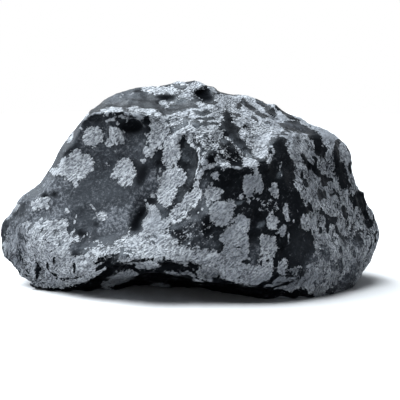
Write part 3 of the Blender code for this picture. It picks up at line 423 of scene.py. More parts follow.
FLAKES = (
    # left scoop
    (-21.3, 12.6, 2.1, 1.9, 20), (-22.6, 11.7, 0.9, 1.1, 0), (-20.6, 13.7, 0.9, 1.1, -20),
    (-22.2, 13.6, 0.8, 0.9, 0), (-17, 12.9, 1.6, 1.6, 0), (-18, 11.5, 0.7, 1.1, -25),
    (-16.1, 12.2, 0.8, 1.1, 20), (-17.2, 14, 1.1, 0.7, 0), (-25.8, 7.2, 2.9, 1.9, 30),
    (-23, 7.2, 1.8, 2, 0), (-25, 5.1, 2.1, 1.5, 0), (-28.2, 6, 1.6, 0.8, 8), (-24.9, 3.2, 0.9, 0.6, 45),
    (-24.9, 9.2, 1.1, 0.8, 30), (-15.1, 5.9, 2.2, 2.6, -5), (-17.2, 4.8, 1.1, 0.7, 20),
    (-15, 3.5, 1.6, 0.8, 0), (-25.9, 12.4, 1.1, 0.35, 55), (-18.5, 7.3, 0.6, 0.25, -45),
    (-17.1, 10.1, 0.3, 0.2, 0), (-23.7, 14.4, 0.4, 0.25, 0), (-26.4, -2.3, 0.35, 0.4, 0),
    (-24.7, -3.4, 0.18, 0.5, -20), (-25.1, -4.4, 0.25, 0.4, -30), (-19.6, -3, 1.2, 0.8, -20),
    (-21.2, -1.7, 1.1, 0.22, -50), (-21, -3.9, 0.5, 0.2, 30), (-19.4, -4, 0.6, 0.5, 0),
    (-32.2, -0.9, 1.8, 1.2, 25), (-31, 0.1, 1.1, 0.5, 0), (-30.4, -1.5, 0.7, 0.5, 0),
    (-37.5, -2.4, 2, 0.5, 50), (-25.6, -6.6, 0.45, 0.6, 0), (-24.7, -7.6, 0.35, 0.8, 0),
    (-23.5, -7.2, 0.5, 0.2, 30), (-22.7, -6.9, 0.12, 0.35, 0), (-20.6, -8.5, 0.5, 0.3, -30),
    (-25.8, -7.6, 0.9, 0.3, 15), (-24.2, -7.9, 0.4, 0.25, -30), (-22.6, -8.4, 0.35, 0.2, -30),
    (-21.6, -8.6, 0.3, 0.2, -40), (-20, -9.2, 0.4, 0.2, -20), (-22, -7.6, 0.25, 0.2, 0),
    (-25.2, -5.8, 0.4, 0.2, 30), (-19.2, -8.4, 0.25, 0.18, 0), (-23.2, -9.6, 0.3, 0.2, 0),
    # top left and brow
    (-17.4, 18, 2, 0.7, 3), (-12.6, 17.9, 2.2, 0.65, -5), (-9.6, 17.5, 1.9, 0.6, -5),
    (-19.2, 18.1, 0.8, 0.3, 10), (-15.6, 20.7, 0.6, 0.12, 50), (-13.6, 21.2, 0.5, 0.12, 30),
    (-22.8, 16.8, 0.9, 0.2, 50), (-7.4, 19.4, 0.9, 0.55, 0), (-5.8, 19.3, 0.7, 0.18, 30),
    (-6.6, 18.6, 0.5, 0.3, 30), (-2.8, 19.6, 0.35, 0.1, 50), (-1.2, 20.1, 0.2, 0.2, 0),
    (-4.6, 17.1, 2.1, 0.55, 3), (-2.2, 17.9, 1.5, 0.35, 20), (-1.6, 17, 0.8, 0.6, -30),
    (-4.6, 15.7, 1.3, 1, 20), (-6.9, 16.3, 0.8, 0.8, 0), (-8.4, 15.3, 1.1, 0.4, -20),
    (-16, 16.7, 0.5, 0.14, 30), (-15, 17, 0.4, 0.12, 0), (-14.6, 15.8, 0.16, 0.4, -20),
    (-18.8, 17, 0.5, 0.12, 20), (-21.6, 16.8, 0.4, 0.12, 40), (-17.2, 15.9, 0.25, 0.12, 0),
    (-16.4, 15.4, 0.5, 0.4, 0), (-8.4, 15.6, 1.8, 1.1, -35), (-8.6, 14.2, 1.5, 1.2, -20),
    (9.4, 7.8, 1.1, 1.2, -20), (-7.4, 14.2, 1.4, 1.6, -20), (-17.6, 16.2, 1.3, 0.3, 20),
    (-14.4, 16.4, 1.4, 0.22, -10), (-12, 16.3, 1.2, 0.2, 0), (-0.3, 23.3, 1.6, 0.35, -5),
    (2.5, 22.2, 1.2, 0.35, -35), (20.4, 16.1, 2.2, 0.35, -27),
    # middle column
    (-4.6, 10.6, 0.9, 2.4, 5), (-6.2, 7.6, 1, 1.2, 0), (2, 6.7, 1.7, 0.45, 15),
    (9.4, 13.2, 1.8, 1.4, -25), (5.6, 9.4, 1.5, 0.2, -45), (6.4, 8.4, 1.2, 0.16, -40),
    (4.4, 10.2, 1.2, 0.18, -50), (7.4, 8.6, 0.8, 0.16, -45), (34, -2.4, 0.5, 1.8, 15),
    (13.4, -0.9, 0.7, 0.5, 30), (14.6, -1.6, 0.5, 0.4, 0), (12.2, -1.8, 0.5, 0.35, 0),
    (11.8, 0.2, 0.5, 0.3, 20), (17, -16, 2.4, 0.5, 10), (18, -17.6, 3.4, 0.3, 6),
    (14.6, -17, 2, 0.2, 8), (7, -15.9, 2.4, 0.5, -8), (-8.6, 13, 1.9, 1.3, 25), (-9.8, 12.5, 1, 1, 0),
    (-7.6, 12, 1.2, 0.8, 30), (-10.1, 9.5, 1.3, 1.4, 0), (-11.3, 7.8, 0.8, 0.4, 40),
    (-9, 11.1, 1.2, 0.9, 0), (-8.1, 10.4, 0.5, 0.8, 0), (-10.8, 11.3, 0.16, 0.5, -10),
    (-11.3, 10, 0.16, 0.9, -22), (-5.8, 11, 1.6, 2.2, -5), (-6.4, 8.8, 1.1, 1.6, 5),
    (-5.5, 8, 1.1, 1.2, 0), (-5, 12.6, 1.5, 1.1, 30), (-3.6, 13.6, 1.4, 0.7, 30),
    (-5.3, 4.5, 2.8, 2.1, 22), (-6.6, 1.5, 1.8, 2.6, -18), (-7, 4.7, 0.8, 0.6, 40),
    (-1.9, 0, 2.8, 1.4, 52), (-4.4, -2.6, 2.6, 1.4, 45), (-5, -3.8, 0.7, 1.2, -10),
    (-6.4, -3.6, 0.7, 0.4, 20), (-0.7, 2.8, 0.5, 1, -10), (-3.9, -3.2, 0.8, 0.7, 0),
    (0.5, 5.4, 0.45, 1.3, -28), (0.6, 7.9, 0.45, 1.1, 0), (-1.3, -6.2, 0.35, 0.15, 30),
    (-1.9, -7.2, 0.7, 0.3, 25), (-2.8, -7.3, 0.4, 0.35, 0), (0.8, -6.6, 0.1, 0.5, -30),
    (1.1, -8.5, 0.2, 0.16, 0), (2.9, -8.8, 0.45, 0.18, 10), (3.7, -9.2, 0.14, 0.3, 0),
    (-0.7, -2.5, 0.14, 0.3, -20), (0.3, -1.6, 0.4, 0.3, -20), (-2.4, -8.2, 0.5, 0.2, 0),
    (-0.5, -4.6, 0.1, 0.2, 0), (0.8, -4.9, 0.14, 0.5, 30), (-3.4, -6.6, 0.4, 0.5, 0),
    (-1.7, -5, 0.8, 0.08, 50), (-2.2, -5.2, 0.25, 0.12, 0), (1.6, -1, 0.3, 0.5, 0),
    (0.1, 4.5, 0.7, 0.5, 50), (-9.5, 1, 0.6, 0.5, 30), (-10.8, 0, 0.4, 0.15, 0),
    (-8.4, 4.6, 0.14, 0.9, 0), (-7.8, 6, 0.7, 0.12, 55), (-0.1, 9, 0.16, 1.6, 4),
    (-1.2, 10.4, 1.2, 0.16, -42), (-0.1, 6.8, 0.14, 1.2, 0), (-0.6, 5, 0.14, 1.2, -20),
    # below the pits and before the black face
    (4.6, 7.6, 1.6, 0.8, -20), (3.8, 8.3, 0.8, 0.6, 60), (4.8, 6.3, 0.3, 0.9, 0),
    (5.7, 6.9, 0.6, 0.6, 0), (3.1, 4.8, 0.9, 0.8, 0), (2.7, 1.3, 2, 1.4, 10), (2.5, 3.1, 0.7, 0.22, 55),
    (1.6, -0.6, 0.4, 0.8, 0), (4.3, -3, 2.5, 2.5, 0), (6, -1.4, 1, 1.3, 0), (3.4, -1.2, 1.1, 1, 0),
    (8.6, -4.4, 1.2, 1.4, 0), (9.9, 2.7, 1.3, 2.5, 0), (9.9, -0.1, 0.4, 0.6, 0),
    (11.6, 4.1, 0.8, 2.4, 8), (12.2, 2.5, 0.5, 1.2, 0), (10.8, 7.2, 0.9, 1.2, 20),
    (11.4, 12.2, 2.7, 1.9, 0), (12, 9.7, 1.8, 1.5, 0), (10, 13.2, 1.8, 1.1, 0),
    (13.4, 13.4, 2, 0.9, -10), (14.1, 8.2, 0.5, 0.9, -15), (14.6, 2.2, 0.8, 1.3, 0),
    (15.1, 1, 0.5, 0.8, 0), (14.6, 9.7, 0.35, 0.6, 20), (14.2, 10.6, 0.5, 0.14, 20),
    (8.3, 0.6, 0.3, 0.6, 0), (7.6, 0.3, 0.2, 0.2, 0), (6.2, 1.3, 0.05, 0.4, 0),
    (6.7, 0.9, 0.4, 0.05, 10), (12.6, -0.6, 0.5, 0.5, 0), (12.5, 1.5, 0.5, 0.14, 40),
    (14, -0.3, 0.35, 0.5, 0), (15.3, -1.6, 0.6, 0.6, 0), (14.3, -4.2, 1.1, 1.5, -10),
    (13.9, -2.6, 0.5, 0.9, 0), (14.6, -5.6, 0.8, 0.45, 0), (17.2, -2.4, 0.5, 1.8, 0),
    (17.7, -3.8, 0.4, 0.5, 0), (16.6, -6.2, 0.8, 1.2, -10), (17.7, -7.7, 0.14, 1, 0),
    (19.4, -2, 0.12, 0.8, 0), (18.8, -4.1, 0.16, 0.35, 0), (16.3, 6.4, 0.14, 1.5, -8),
    (16.2, 5.1, 0.22, 0.22, 0), (15.4, 4.8, 0.7, 0.1, 8), (16.5, -13.4, 1.1, 1.8, -10),
    (15.4, -6.7, 0.4, 0.25, 0), (6.5, 11.3, 1.4, 0.25, -45), (7.6, 10.2, 1.3, 0.3, -45),
    (5.6, 12, 0.7, 0.3, -45), (8.2, 9.2, 0.5, 0.3, -45), (22.5, 7.6, 0.8, 0.2, -45),
    (20.9, 13.1, 0.9, 0.25, -5), (18.2, 13.2, 1.6, 0.2, -18),
    # under the arch
    (-10.6, -13, 2.2, 0.9, 6), (-15.6, -15.4, 2.6, 1.3, 22), (-17.6, -16.6, 2.2, 1, 15),
    (-13.4, -14.7, 1.2, 0.4, -20), (-5.4, -14.8, 1.7, 0.6, -14), (-8.4, -17.2, 2.2, 0.6, 0),
    (-6, -18.1, 1.4, 0.5, -10), (-2.4, -14.6, 1.8, 0.35, -22), (-0.4, -16.2, 1.2, 0.25, -20),
    (-2, -12.4, 2.2, 0.28, -3), (-4, -12, 3.2, 0.7, -6), (-1.6, -13.6, 2, 0.16, -28),
    (-0.4, -15.4, 2.4, 0.14, -28), (-20.6, -14.6, 2.6, 0.25, 30), (14.8, -16.6, 0.25, 0.2, 0),
)

# Ragged edges of the flakes: lobes like a cauliflower's, crumbs, fibres and grains, and how far
# each moves the edge. The last is the width over which a flake fades out.
LOBE_SIZE = 1.2
LOBE_REACH = 0.45
CRUMB_REACH = 1.5
FIBRE_REACH = 0.7
GRAIN_REACH = 0.8
EDGE_BLUR = 0.07

# Noises of the material: width of the lumps, detail and roughness.
FIBRE_NOISE = (0.33, 1.0, 0.5)
CRUMB_NOISE = (0.8, 5.0, 0.7)
TEAR_NOISE = (1.7, 4.0, 0.65)
GRAIN_NOISE = (0.28, 1.0, 0.6)
MOTTLE_NOISE = (2.4, 2.0, 0.55)
CLOUD_NOISE = (2.0, 5.0, 0.75)
DUST_NOISE = (0.6, 4.0, 0.8)
NOISE_MIDDLE = 0.5

# Fibres, crumbs and tears are drawn out along the stone's grain: turn in degrees and how far, first
# in the middle of the stone and then at its ends, and where the ends begin.
FIBRE_WAYS = ((-42, 2.6), (-100, 2.6))
CRUMB_WAYS = ((0, 1.0), (-100, 2.2))
TEAR_WAYS = ((-30, 2.4), (-70, 2.4))
RIGHT_FROM = (19.5, 21.5)
LEFT_FROM = (-32.0, -33.5)
# Thin tears through the broken ground: how wide they open and how steep their sides are.
TEAR_WIDTH = 0.035
TEAR_SLOPE = 12.0

FLAKE_LIGHT = (0.62, 0.648, 0.688, 1.0)
FLAKE_MIDDLE = (0.215, 0.23, 0.26, 1.0)
FLAKE_DARK = (0.14, 0.15, 0.167, 1.0)
# Colour of the dull flakes, partly painted shade.
FLAKE_DULL_AND_SHADE = (0.110, 0.120, 0.139, 1.0)
GLASS_BLACK = (0.0036, 0.0042, 0.0056, 1.0)
# Grey of the smoky glass, partly painted sheen and painted light.
GLASS_SMOKE_AND_SHEEN = (0.084, 0.092, 0.108, 1.0)
# Pale of grit, flecks, specks and standing ridges; on the ridges it is partly painted highlight.
CHIP_PALE = (0.24, 0.255, 0.28, 1.0)
GLINT_TINT = (0.74, 0.86, 1.0, 1.0)

# Shares of the fibres, the grain and the crumbs in a flake's tone.
FIBRE_SHARE = 0.6
GRAIN_SHARE = 0.4
CRUMB_SHARE = 0.2
# Ramps: the range of a value, and where there are four numbers, what it becomes at each end.
BRIGHT_TONES = (0.45, 0.73)
MOTTLE_TO_MIDDLE = (0.35, 0.7, 0.0, 0.4)
CLOUD_TO_SMOKE_AND_SHEEN = (0.3, 0.7, 0.5, 1.4)
DUST_TO_SMOKE_AND_SHEEN = (0.36, 0.64, 0.35, 1.65)
DUST_TO_GRIT = (0.44, 0.64)
SMOKE_AND_SHEEN_TO_GRIT = (0.3, 1.0)
TONE_TO_FLECK = (0.63, 0.82, 0.0, 0.5)
MOTTLE_TO_FLECK = (0.4, 0.65, 0.15, 1.0)
# Ridges that stand out turn pale, partly as chipped glass and partly as painted highlight along the
# edges.
RIDGE_TO_CHIP_AND_HIGHLIGHT = (0.09, 0.14)
CHIP_AND_HIGHLIGHT_GRAIN = 0.06
# Pale specks on the glass: room that each has, which of them are left out, and the largest radius.
SPECK_ROOM = 1.3
SPECK_PICK = (0.55, 1.0)
SPECK_SIZE = 0.12
# Roughness, glints and fine relief of the glass, the places of painted deep shade and the flakes.
SMOKE_AND_SHEEN_TO_ROUGHNESS = (0.0, 0.4, 0.3, 0.6)
DEEP_SHADE_ROUGHNESS = 1.0
FLAKE_ROUGHNESS = 0.62
SMOKE_AND_SHEEN_TO_GLINT = (0.0, 0.5, 0.32, 0.15)
DEEP_SHADE_TO_GLINT = (0.0, 1.0, 1.0, 0.1)
DULL_AND_SHADE_TO_BUMP = (0.0, 0.6, 1.0, 0.3)
GLASS_BUMP = 0.12
GLASS_IOR = 1.5

# The studio, in metres: softboxes with their place, width and brightness.
FLOOR_RADIUS = 0.26
FLOOR_CORNERS = 128
FLOOR_COLOUR = (0.84, 0.84, 0.85, 1.0)
FLOOR_BOUNCE = (0.62, 0.62, 0.63, 1.0)
SOFTBOXES = (
    ("top_softbox", (-0.15, 0.05, 0.46), 0.50, 5.9),
    ("left_softbox", (-0.44, 0.24, 0.40), 0.6, 3.3),
)
LAMP_TINT = (0.91, 0.965, 1.0)
# The room's light by direction: how far a way points back and how far it rises, from -1 to 1. It is
# bright behind, and in front it falls off from the horizon up; below the horizon it is black.
ROOM_TINT = (0.90, 0.95, 1.0, 1.0)
ROOM_BACK = 0.5
BACK_FROM = (0.0, 0.9)
BACK_RISE = (-0.1, 0.2)
FRONT_RISE = (0.05, 0.5, 0.35, 0.05)
HORIZON = (-0.1, 0.05)
PAPER_WHITE = (1.0, 1.0, 1.0, 1.0)
SENSOR = 36.0
FOCAL = 189.0


def from_picture(across, up, depth):
    """The point at that depth which looks to be there from in front, in the stone's millimetres."""
    rise = up * (VIEW_DISTANCE + depth * COS_E) - VIEW_DISTANCE * depth * SIN_E
    rise /= VIEW_DISTANCE * COS_E + up * SIN_E
    range_share = (VIEW_DISTANCE + depth * COS_E - rise * SIN_E) / VIEW_DISTANCE
    return Vector((across * range_share, depth, max(rise + VIEW_HEIGHT, FLOOR_REACH)))


def to_picture(points):
    """Across and up of points of the stone, as seen from in front."""
    rel = points - EYE
    reach = rel @ LOOK
    return np.stack((rel[:, 0], rel @ UPRIGHT), axis=1) * (VIEW_DISTANCE / reach)[:, None]


def cage_points():
    seen = SKYLINE + BROW + TOP + RIM + SCOOP + MIDDLE + FRONT + RIGHT + LOBE + LEDGE + LIP + ARCH
    return [from_picture(*p) for p in seen] + [Vector(p) for p in BACK + BED]


def wrapped_cage(points):
    """A closed cage through the points, with the faces that a hull of their directions has."""
    heart = Vector(HEART)
    cage = bmesh.new()
    for p in points:
        cage.verts.new((p - heart).normalized())
    bmesh.ops.convex_hull(cage, input=cage.verts)
    cage.verts.ensure_lookup_table()
    for vert, p in zip(cage.verts, points):
        vert.co = p
    bmesh.ops.recalc_face_normals(cage, faces=cage.faces)
    crease = cage.edges.layers.float.new("crease_edge")
    for edge in cage.edges:
        turn = edge.calc_face_angle_signed()
        if turn > RIDGE_ANGLE:
            edge[crease] = RIDGE_CREASE
        elif turn < -VALLEY_ANGLE:
            edge[crease] = VALLEY_CREASE
    mesh = bpy.data.meshes.new("cage")
    cage.to_mesh(mesh)
    cage.free()
    return mesh


def with_modifier(mesh, kind, **settings):
    """The mesh that one modifier makes of a mesh."""
    holder = bpy.data.objects.new("holder", mesh)
    bpy.context.scene.collection.objects.link(holder)
    mod = holder.modifiers.new("shape", kind)
    for name, value in settings.items():
        setattr(mod, name, value)
    bpy.context.view_layer.update()
    made = bpy.data.meshes.new_from_object(holder.evaluated_get(bpy.context.evaluated_depsgraph_get()))
    bpy.data.objects.remove(holder)
    return made


def vert_array(mesh, what="co"):
    flat = np.empty(len(mesh.vertices) * 3, dtype=np.float32)
    if what == "co":
        mesh.vertices.foreach_get("co", flat)
    else:
        mesh.vertex_normals.foreach_get("vector", flat)
    return flat.reshape(-1, 3).astype(float)


def put_verts(mesh, points):
    mesh.vertices.foreach_set("co", points.astype(np.float32).ravel())
    mesh.update()


def seat(tree, points, normals, across, up, half_w, half_h, turn):
    """Middle of a mark on the front and the three vectors that carry its ellipse and its height."""
    ray = LOOK * VIEW_DISTANCE + UPRIGHT * up + np.array((across, 0.0, 0.0))
    hit = tree.ray_cast(Vector(EYE), Vector(ray))[0]
    middle = np.array(hit)
    gap = np.linalg.norm(points - middle, axis=1)
    out = normals[gap < max(half_w, half_h, 1.0)].sum(axis=0)
    out /= np.linalg.norm(out)
    spread = []
    for angle, half in ((turn, half_w), (turn + 90.0, half_h)):
        side = math.cos(math.radians(angle)) * half
        rise = math.sin(math.radians(angle)) * half
        way = ray + UPRIGHT * rise + np.array((side, 0.0, 0.0))
        along = EYE + way * ((middle - EYE) @ out) / (way @ out) - middle
        length = np.linalg.norm(along)
        spread.append(along * min(1.0, STRETCH_LIMIT * half / length))
    size = math.sqrt(np.linalg.norm(spread[0]) * np.linalg.norm(spread[1]))
    return middle, np.stack((spread[0], spread[1], out * size), axis=1), size


def hidden_seat(tree, points, normals, round_front, rise, half_w, half_h, turn):
    """The same for a mark on a side that the picture doesn't show."""
    a = math.radians(round_front)
    e = math.radians(rise)
    way = Vector((math.sin(a) * math.cos(e), -math.cos(a) * math.cos(e), math.sin(e)))
    middle = np.array(tree.ray_cast(Vector(HEART), way)[0])
    gap = np.linalg.norm(points - middle, axis=1)
    out = normals[gap < max(half_w, half_h)].sum(axis=0)
    out /= np.linalg.norm(out)
    level = np.cross((0.0, 0.0, 1.0), out)
    level /= np.linalg.norm(level)
    steep = np.cross(out, level)
    c = math.cos(math.radians(turn))
    s = math.sin(math.radians(turn))
    size = math.sqrt(half_w * half_h)
    spread = ((level * c + steep * s) * half_w, (steep * c - level * s) * half_h, out * size)
    return middle, np.stack(spread, axis=1), size


def dent(points, middle, basis, size, depth):
    """Presses a ball into the surface, stretched to the ellipse of the basis."""
    local = (points - middle) @ np.linalg.inv(basis).T
    bend = [smooth_noise(points, size * BEND_SIZE, BEND_SEED + i) * BEND_SHARE for i in range(3)]
    local += np.stack(bend, axis=1)
    share = depth / size
    radius = (1.0 + share * share) / (2.0 * share)
    away = local - np.array((0.0, 0.0, radius - share))
    dist = np.linalg.norm(away, axis=1)
    flat = np.hypot(local[:, 0], local[:, 1])
    near = (dist < radius) & (flat < DENT_REACH) & (local[:, 2] < DENT_REACH)
    away[near] *= (radius / dist[near])[:, None]
    local[near] = away[near] + np.array((0.0, 0.0, radius - share))
    local -= np.stack(bend, axis=1)
    points[near] = middle + local[near] @ basis.T


def smooth_noise(points, size, seed):
    """Soft lumps between -1 and 1, one lump to a cell of that size."""
    table = np.random.default_rng(seed).uniform(-1.0, 1.0, (NOISE_TABLE,) * 3)
    grid = points / size + NOISE_ORIGIN
    cell = np.floor(grid).astype(int)
    part = grid - cell
    part = part * part * (3.0 - 2.0 * part)
    total = 0.0
    for corner in np.ndindex(2, 2, 2):
        weight = np.prod(np.where(corner, part, 1.0 - part), axis=1)
        i, j, k = ((cell + corner) % NOISE_TABLE).T
        total = total + weight * table[i, j, k]
    return total


def scar_noise(points, size, seed):
    """Dished cells with sharp edges between them: 0 in the middle of a cell, about 1 at its edge."""
    shift = np.random.default_rng(seed).uniform(*SCAR_SPREAD, (NOISE_TABLE,) * 3 + (3,))
    grid = points / size + NOISE_ORIGIN
    cell = np.floor(grid).astype(int)
    best = np.full(len(points), np.inf)
    for step in np.ndindex(3, 3, 3):
        at = cell + np.array(step) - 1
        i, j, k = (at % NOISE_TABLE).T
        gap = at + shift[i, j, k] - grid
        best = np.minimum(best, (gap * gap).sum(axis=1))
    return best


def roughen(points, normals):
    """Raises the edges between scars, and less so on the calm faces."""
    seen = to_picture(points)
    calm = np.zeros(len(points))
    for face in CALM_FACES:
        off = np.linalg.norm((seen - face[:2]) / face[2:], axis=1)
        calm = np.maximum(calm, np.clip((CALM_END - off) / CALM_FADE, 0.0, 1.0))
    share = 1.0 - (1.0 - CALM_SHARE) * calm * (normals @ LOOK < 0.0)
    bend = np.stack([smooth_noise(points, STRAY_SIZE, STRAY_SEED + i) for i in range(3)], axis=1)
    bend *= STRAY_REACH
    height = SWELL_HEIGHT * smooth_noise(points, SWELL_SIZE, SWELL_SEED)
    for turn, (size, rise) in enumerate(SCARS):
        height = height + rise * (scar_noise(points + bend, size, SCAR_SEED + turn) - SCAR_MEAN)
    points += normals * (height * share)[:, None]


def rounded(rounds):
    """The cage rounded off, after its corners are drawn out until the rounding meets the points."""
    cage = wrapped_cage(cage_points())
    wanted = vert_array(cage)
    corners = wanted.copy()
    for _ in range(FIT_ROUNDS):
        made = with_modifier(cage.copy(), "SUBSURF", levels=FIT_LEVEL, render_levels=FIT_LEVEL)
        corners += (wanted - vert_array(made)[:len(wanted)]) * FIT_SHARE
        put_verts(cage, corners)
    return with_modifier(cage, "SUBSURF", levels=rounds, render_levels=rounds)


def shaped(rounds):
    """The whole stone in millimetres, before it gets its even skin."""
    mesh = rounded(rounds)
    points = vert_array(mesh)
    normals = vert_array(mesh, "normal")
    tree = BVHTree.FromPolygons(points.tolist(), [list(f.vertices) for f in mesh.polygons])
    seats = [(seat(tree, points, normals, *mark[:5]), mark[5]) for mark in HOLLOWS]
    seats += [(hidden_seat(tree, points, normals, *mark[:5]), mark[5]) for mark in HIDDEN_SCARS]
    for (middle, basis, size), depth in seats:
        dent(points, middle, basis, size, depth)
    put_verts(mesh, points)
    roughen(points, vert_array(mesh, "normal"))
    put_verts(mesh, points)
    return mesh


def largest_body(mesh):
    """Drops crumbs that came loose from the stone."""
    body = bmesh.new()
    body.from_mesh(mesh)
    left = set(body.verts)
    lumps = []
    while left:
        lump = {left.pop()}
        edge = list(lump)
        while edge:
            vert = edge.pop()
            for side in vert.link_edges:
                other = side.other_vert(vert)
                if other in left:
                    left.remove(other)
                    lump.add(other)
                    edge.append(other)
        lumps.append(lump)
    lumps.sort(key=len)
    for lump in lumps[:-1]:
        bmesh.ops.delete(body, geom=list(lump), context="VERTS")
    body.to_mesh(mesh)
    body.free()


def cut_level(mesh):
    """Cuts off what is below the floor and closes the cut with flat faces."""
    body = bmesh.new()
    body.from_mesh(mesh)
    everything = body.verts[:] + body.edges[:] + body.faces[:]
    bmesh.ops.bisect_plane(body, geom=everything, dist=CUT_SNAP, plane_co=(0, 0, 0), plane_no=(0, 0, 1),
                           clear_inner=True)
    rims = [e for e in body.edges if e.is_boundary]
    bmesh.ops.triangle_fill(body, use_beauty=True, use_dissolve=False, edges=rims, normal=(0, 0, -1))
    bmesh.ops.triangulate(body, faces=body.faces[:])
    bmesh.ops.recalc_face_normals(body, faces=body.faces[:])
    body.to_mesh(mesh)
    body.free()


def mark_field(seen, marks):
    """How far inside the nearest mark each point is, in millimetres; less than 0 outside."""
    best = np.full(len(seen), -FAR_OUTSIDE)
    for across, up, half_w, half_h, turn in marks:
        c = math.cos(math.radians(turn))
        s = math.sin(math.radians(turn))
        side = seen[:, 0] - across
        rise = seen[:, 1] - up
        u = (side * c + rise * s) / half_w
        v = (rise * c - side * s) / half_h
        away = np.hypot(u, v)
        slope = np.hypot(u / half_w, v / half_h)
        inside = away * (1.0 - away) / np.maximum(slope, LEAST_SLOPE)
        best = np.maximum(best, inside * max(1.0, STEADY / min(half_w, half_h)))
    return best


def front_field(points):
    """The field of flakes and glass as seen from in front."""
    seen = to_picture(points)
    for turn, (size, reach) in enumerate(BENDS):
        for axis in range(2):
            seen[:, axis] += reach * smooth_noise(points, size, MARK_SEED + 2 * turn + axis)
    field = mark_field(seen, GROUND)
    field = np.minimum(field, -mark_field(seen, GLASS) - GLASS_GAIN)
    return np.maximum(field, mark_field(seen, FLAKES))


def region_share(points, regions, edges, fade=REGION_FADE, rounds=SEEN_ROUNDS):
    """How much of a look the regions give each point, from 0 to 1, fading at their borders."""
    seen = to_picture(points)
    share = np.zeros(len(points))
    for region in regions:
        inside = np.clip(mark_field(seen, (region[:5],)) / fade, 0.0, 1.0)
        share = np.maximum(share, region[5] * inside)
    return smoothed(share, edges, rounds)


def stray_field(points):
    """Round flakes strewn over the whole stone, for the sides that the picture doesn't show."""
    rng = np.random.default_rng(STRAY_FLAKE_SEED)
    field = np.full(len(points), -FAR_OUTSIDE)
    kept = np.empty((0, 3))
    for _ in range(STRAY_FLAKES):
        middle = points[rng.integers(len(points))]
        radius = rng.uniform(*STRAY_RADIUS)
        if len(kept) and np.linalg.norm(kept - middle, axis=1).min() < STRAY_ROOM:
            continue
        kept = np.vstack((kept, middle))
        field = np.maximum(field, radius - np.linalg.norm(points - middle, axis=1))
    for turn, (size, reach) in enumerate(BENDS):
        field += reach * smooth_noise(points, size, STRAY_BEND_SEED + turn)
    return field


def mesh_edges(mesh):
    ends = np.empty(len(mesh.edges) * 2, dtype=np.int32)
    mesh.edges.foreach_get("vertices", ends)
    return ends.reshape(-1, 2)


def smoothed(values, edges, rounds):
    """Values of the points, each averaged with its neighbours that many times."""
    count = np.bincount(edges.ravel(), minlength=len(values)) + 1.0
    for _ in range(rounds):
        total = values.copy()
        np.add.at(total, edges[:, 0], values[edges[:, 1]])
        np.add.at(total, edges[:, 1], values[edges[:, 0]])
        values = total / (count if values.ndim == 1 else count[:, None])
    return values


def seen_share(mesh, points, edges):
    """1 where a point is seen from in front, 0 where it is hidden, and in between near the border."""
    tree = BVHTree.FromPolygons(points.tolist(), [list(f.vertices) for f in mesh.polygons])
    eye = Vector(EYE)
    seen = np.zeros(len(points))
    for i, p in enumerate(points):
        ray = Vector(p) - eye
        reach = ray.length
        hit = tree.ray_cast(eye, ray)[3]
        seen[i] = hit is not None and hit > reach - SEEN_GAP
    return smoothed(seen, edges, SEEN_ROUNDS)


def ridge_field(points, normals, edges):
    """How sharply the surface stands out (+) or falls in (-) at each point, in millimetres."""
    proud = ((points - smoothed(points, edges, RIDGE_ROUNDS)) * normals).sum(axis=1)
    return smoothed(proud, edges, 1)


def fine_relief(points, normals, field, broken):
    """Grain of the flakes, ripples of the glass and chips of the broken ground, along the normals."""
    pale = np.clip(field / GRAIN_FADE + 0.5, 0.0, 1.0)
    height = GLASS_RIPPLE[1] * smooth_noise(points, GLASS_RIPPLE[0], GRAIN_SEED)
    for turn, (size, rise) in enumerate(FLAKE_GRAIN):
        height = height + pale * rise * smooth_noise(points, size, GRAIN_SEED + 1 + turn)
    for turn, (size, rise) in enumerate(CHIPS):
        chips = scar_noise(points, size, CHIP_SEED + turn) - SCAR_MEAN
        height = height + (CHIP_LEAST + (1.0 - CHIP_LEAST) * broken) * rise * chips
    above = np.clip(points[:, 2] / FLOOR_FADE, 0.0, 1.0)
    points += normals * (height * above)[:, None]


def keep(mesh, name, values):
    """Stores one number for each point, for the material to read."""
    mesh.attributes.new(name, "FLOAT", "POINT").data.foreach_set("value", values.astype(np.float32))


def stone_mesh():
    mesh = with_modifier(shaped(ROUNDS), "REMESH", mode="VOXEL", voxel_size=SKIN_CELL)
    largest_body(mesh)
    cut_level(mesh)
    points = vert_array(mesh)
    points[points[:, 2] < CUT_SNAP, 2] = 0.0
    put_verts(mesh, points)
    edges = mesh_edges(mesh)
    share = seen_share(mesh, points, edges)
    field = share * front_field(points) + (1.0 - share) * stray_field(points)
    broken = share * region_share(points, BROKEN, edges) + (1.0 - share) * HIDDEN_BROKEN
    hold = BROKEN_FIRM + (BROKEN_HOLD - BROKEN_FIRM) * np.sqrt(broken)
    keep(mesh, "flake", np.clip(field, -hold, hold))
    # Painted shade: recesses kept pure black, with their smoke taken out and their glint dulled.
    deep_shade = share * region_share(points, DEEP_SHADE, edges, DEEP_SHADE_FADE, RIDGE_ROUNDS)
    keep(mesh, "deep_shade", deep_shade)
    # Smoky haze of the glass, partly painted sheen and painted light.
    keep(mesh, "smoke_and_sheen", region_share(points, SMOKE_AND_SHEEN, edges) * (1.0 - deep_shade))
    # Dull flakes, partly painted shade.
    keep(mesh, "dull_and_shade", share * region_share(points, DULL_AND_SHADE, edges) + (1.0 - share) * HIDDEN_DULL)
    keep(mesh, "broken", broken)
    fine_relief(points, vert_array(mesh, "normal"), field, broken)
    put_verts(mesh, points)
    keep(mesh, "ridge", ridge_field(points, vert_array(mesh, "normal"), edges))
    put_verts(mesh, (points + SHIFT) * MM)
    return mesh


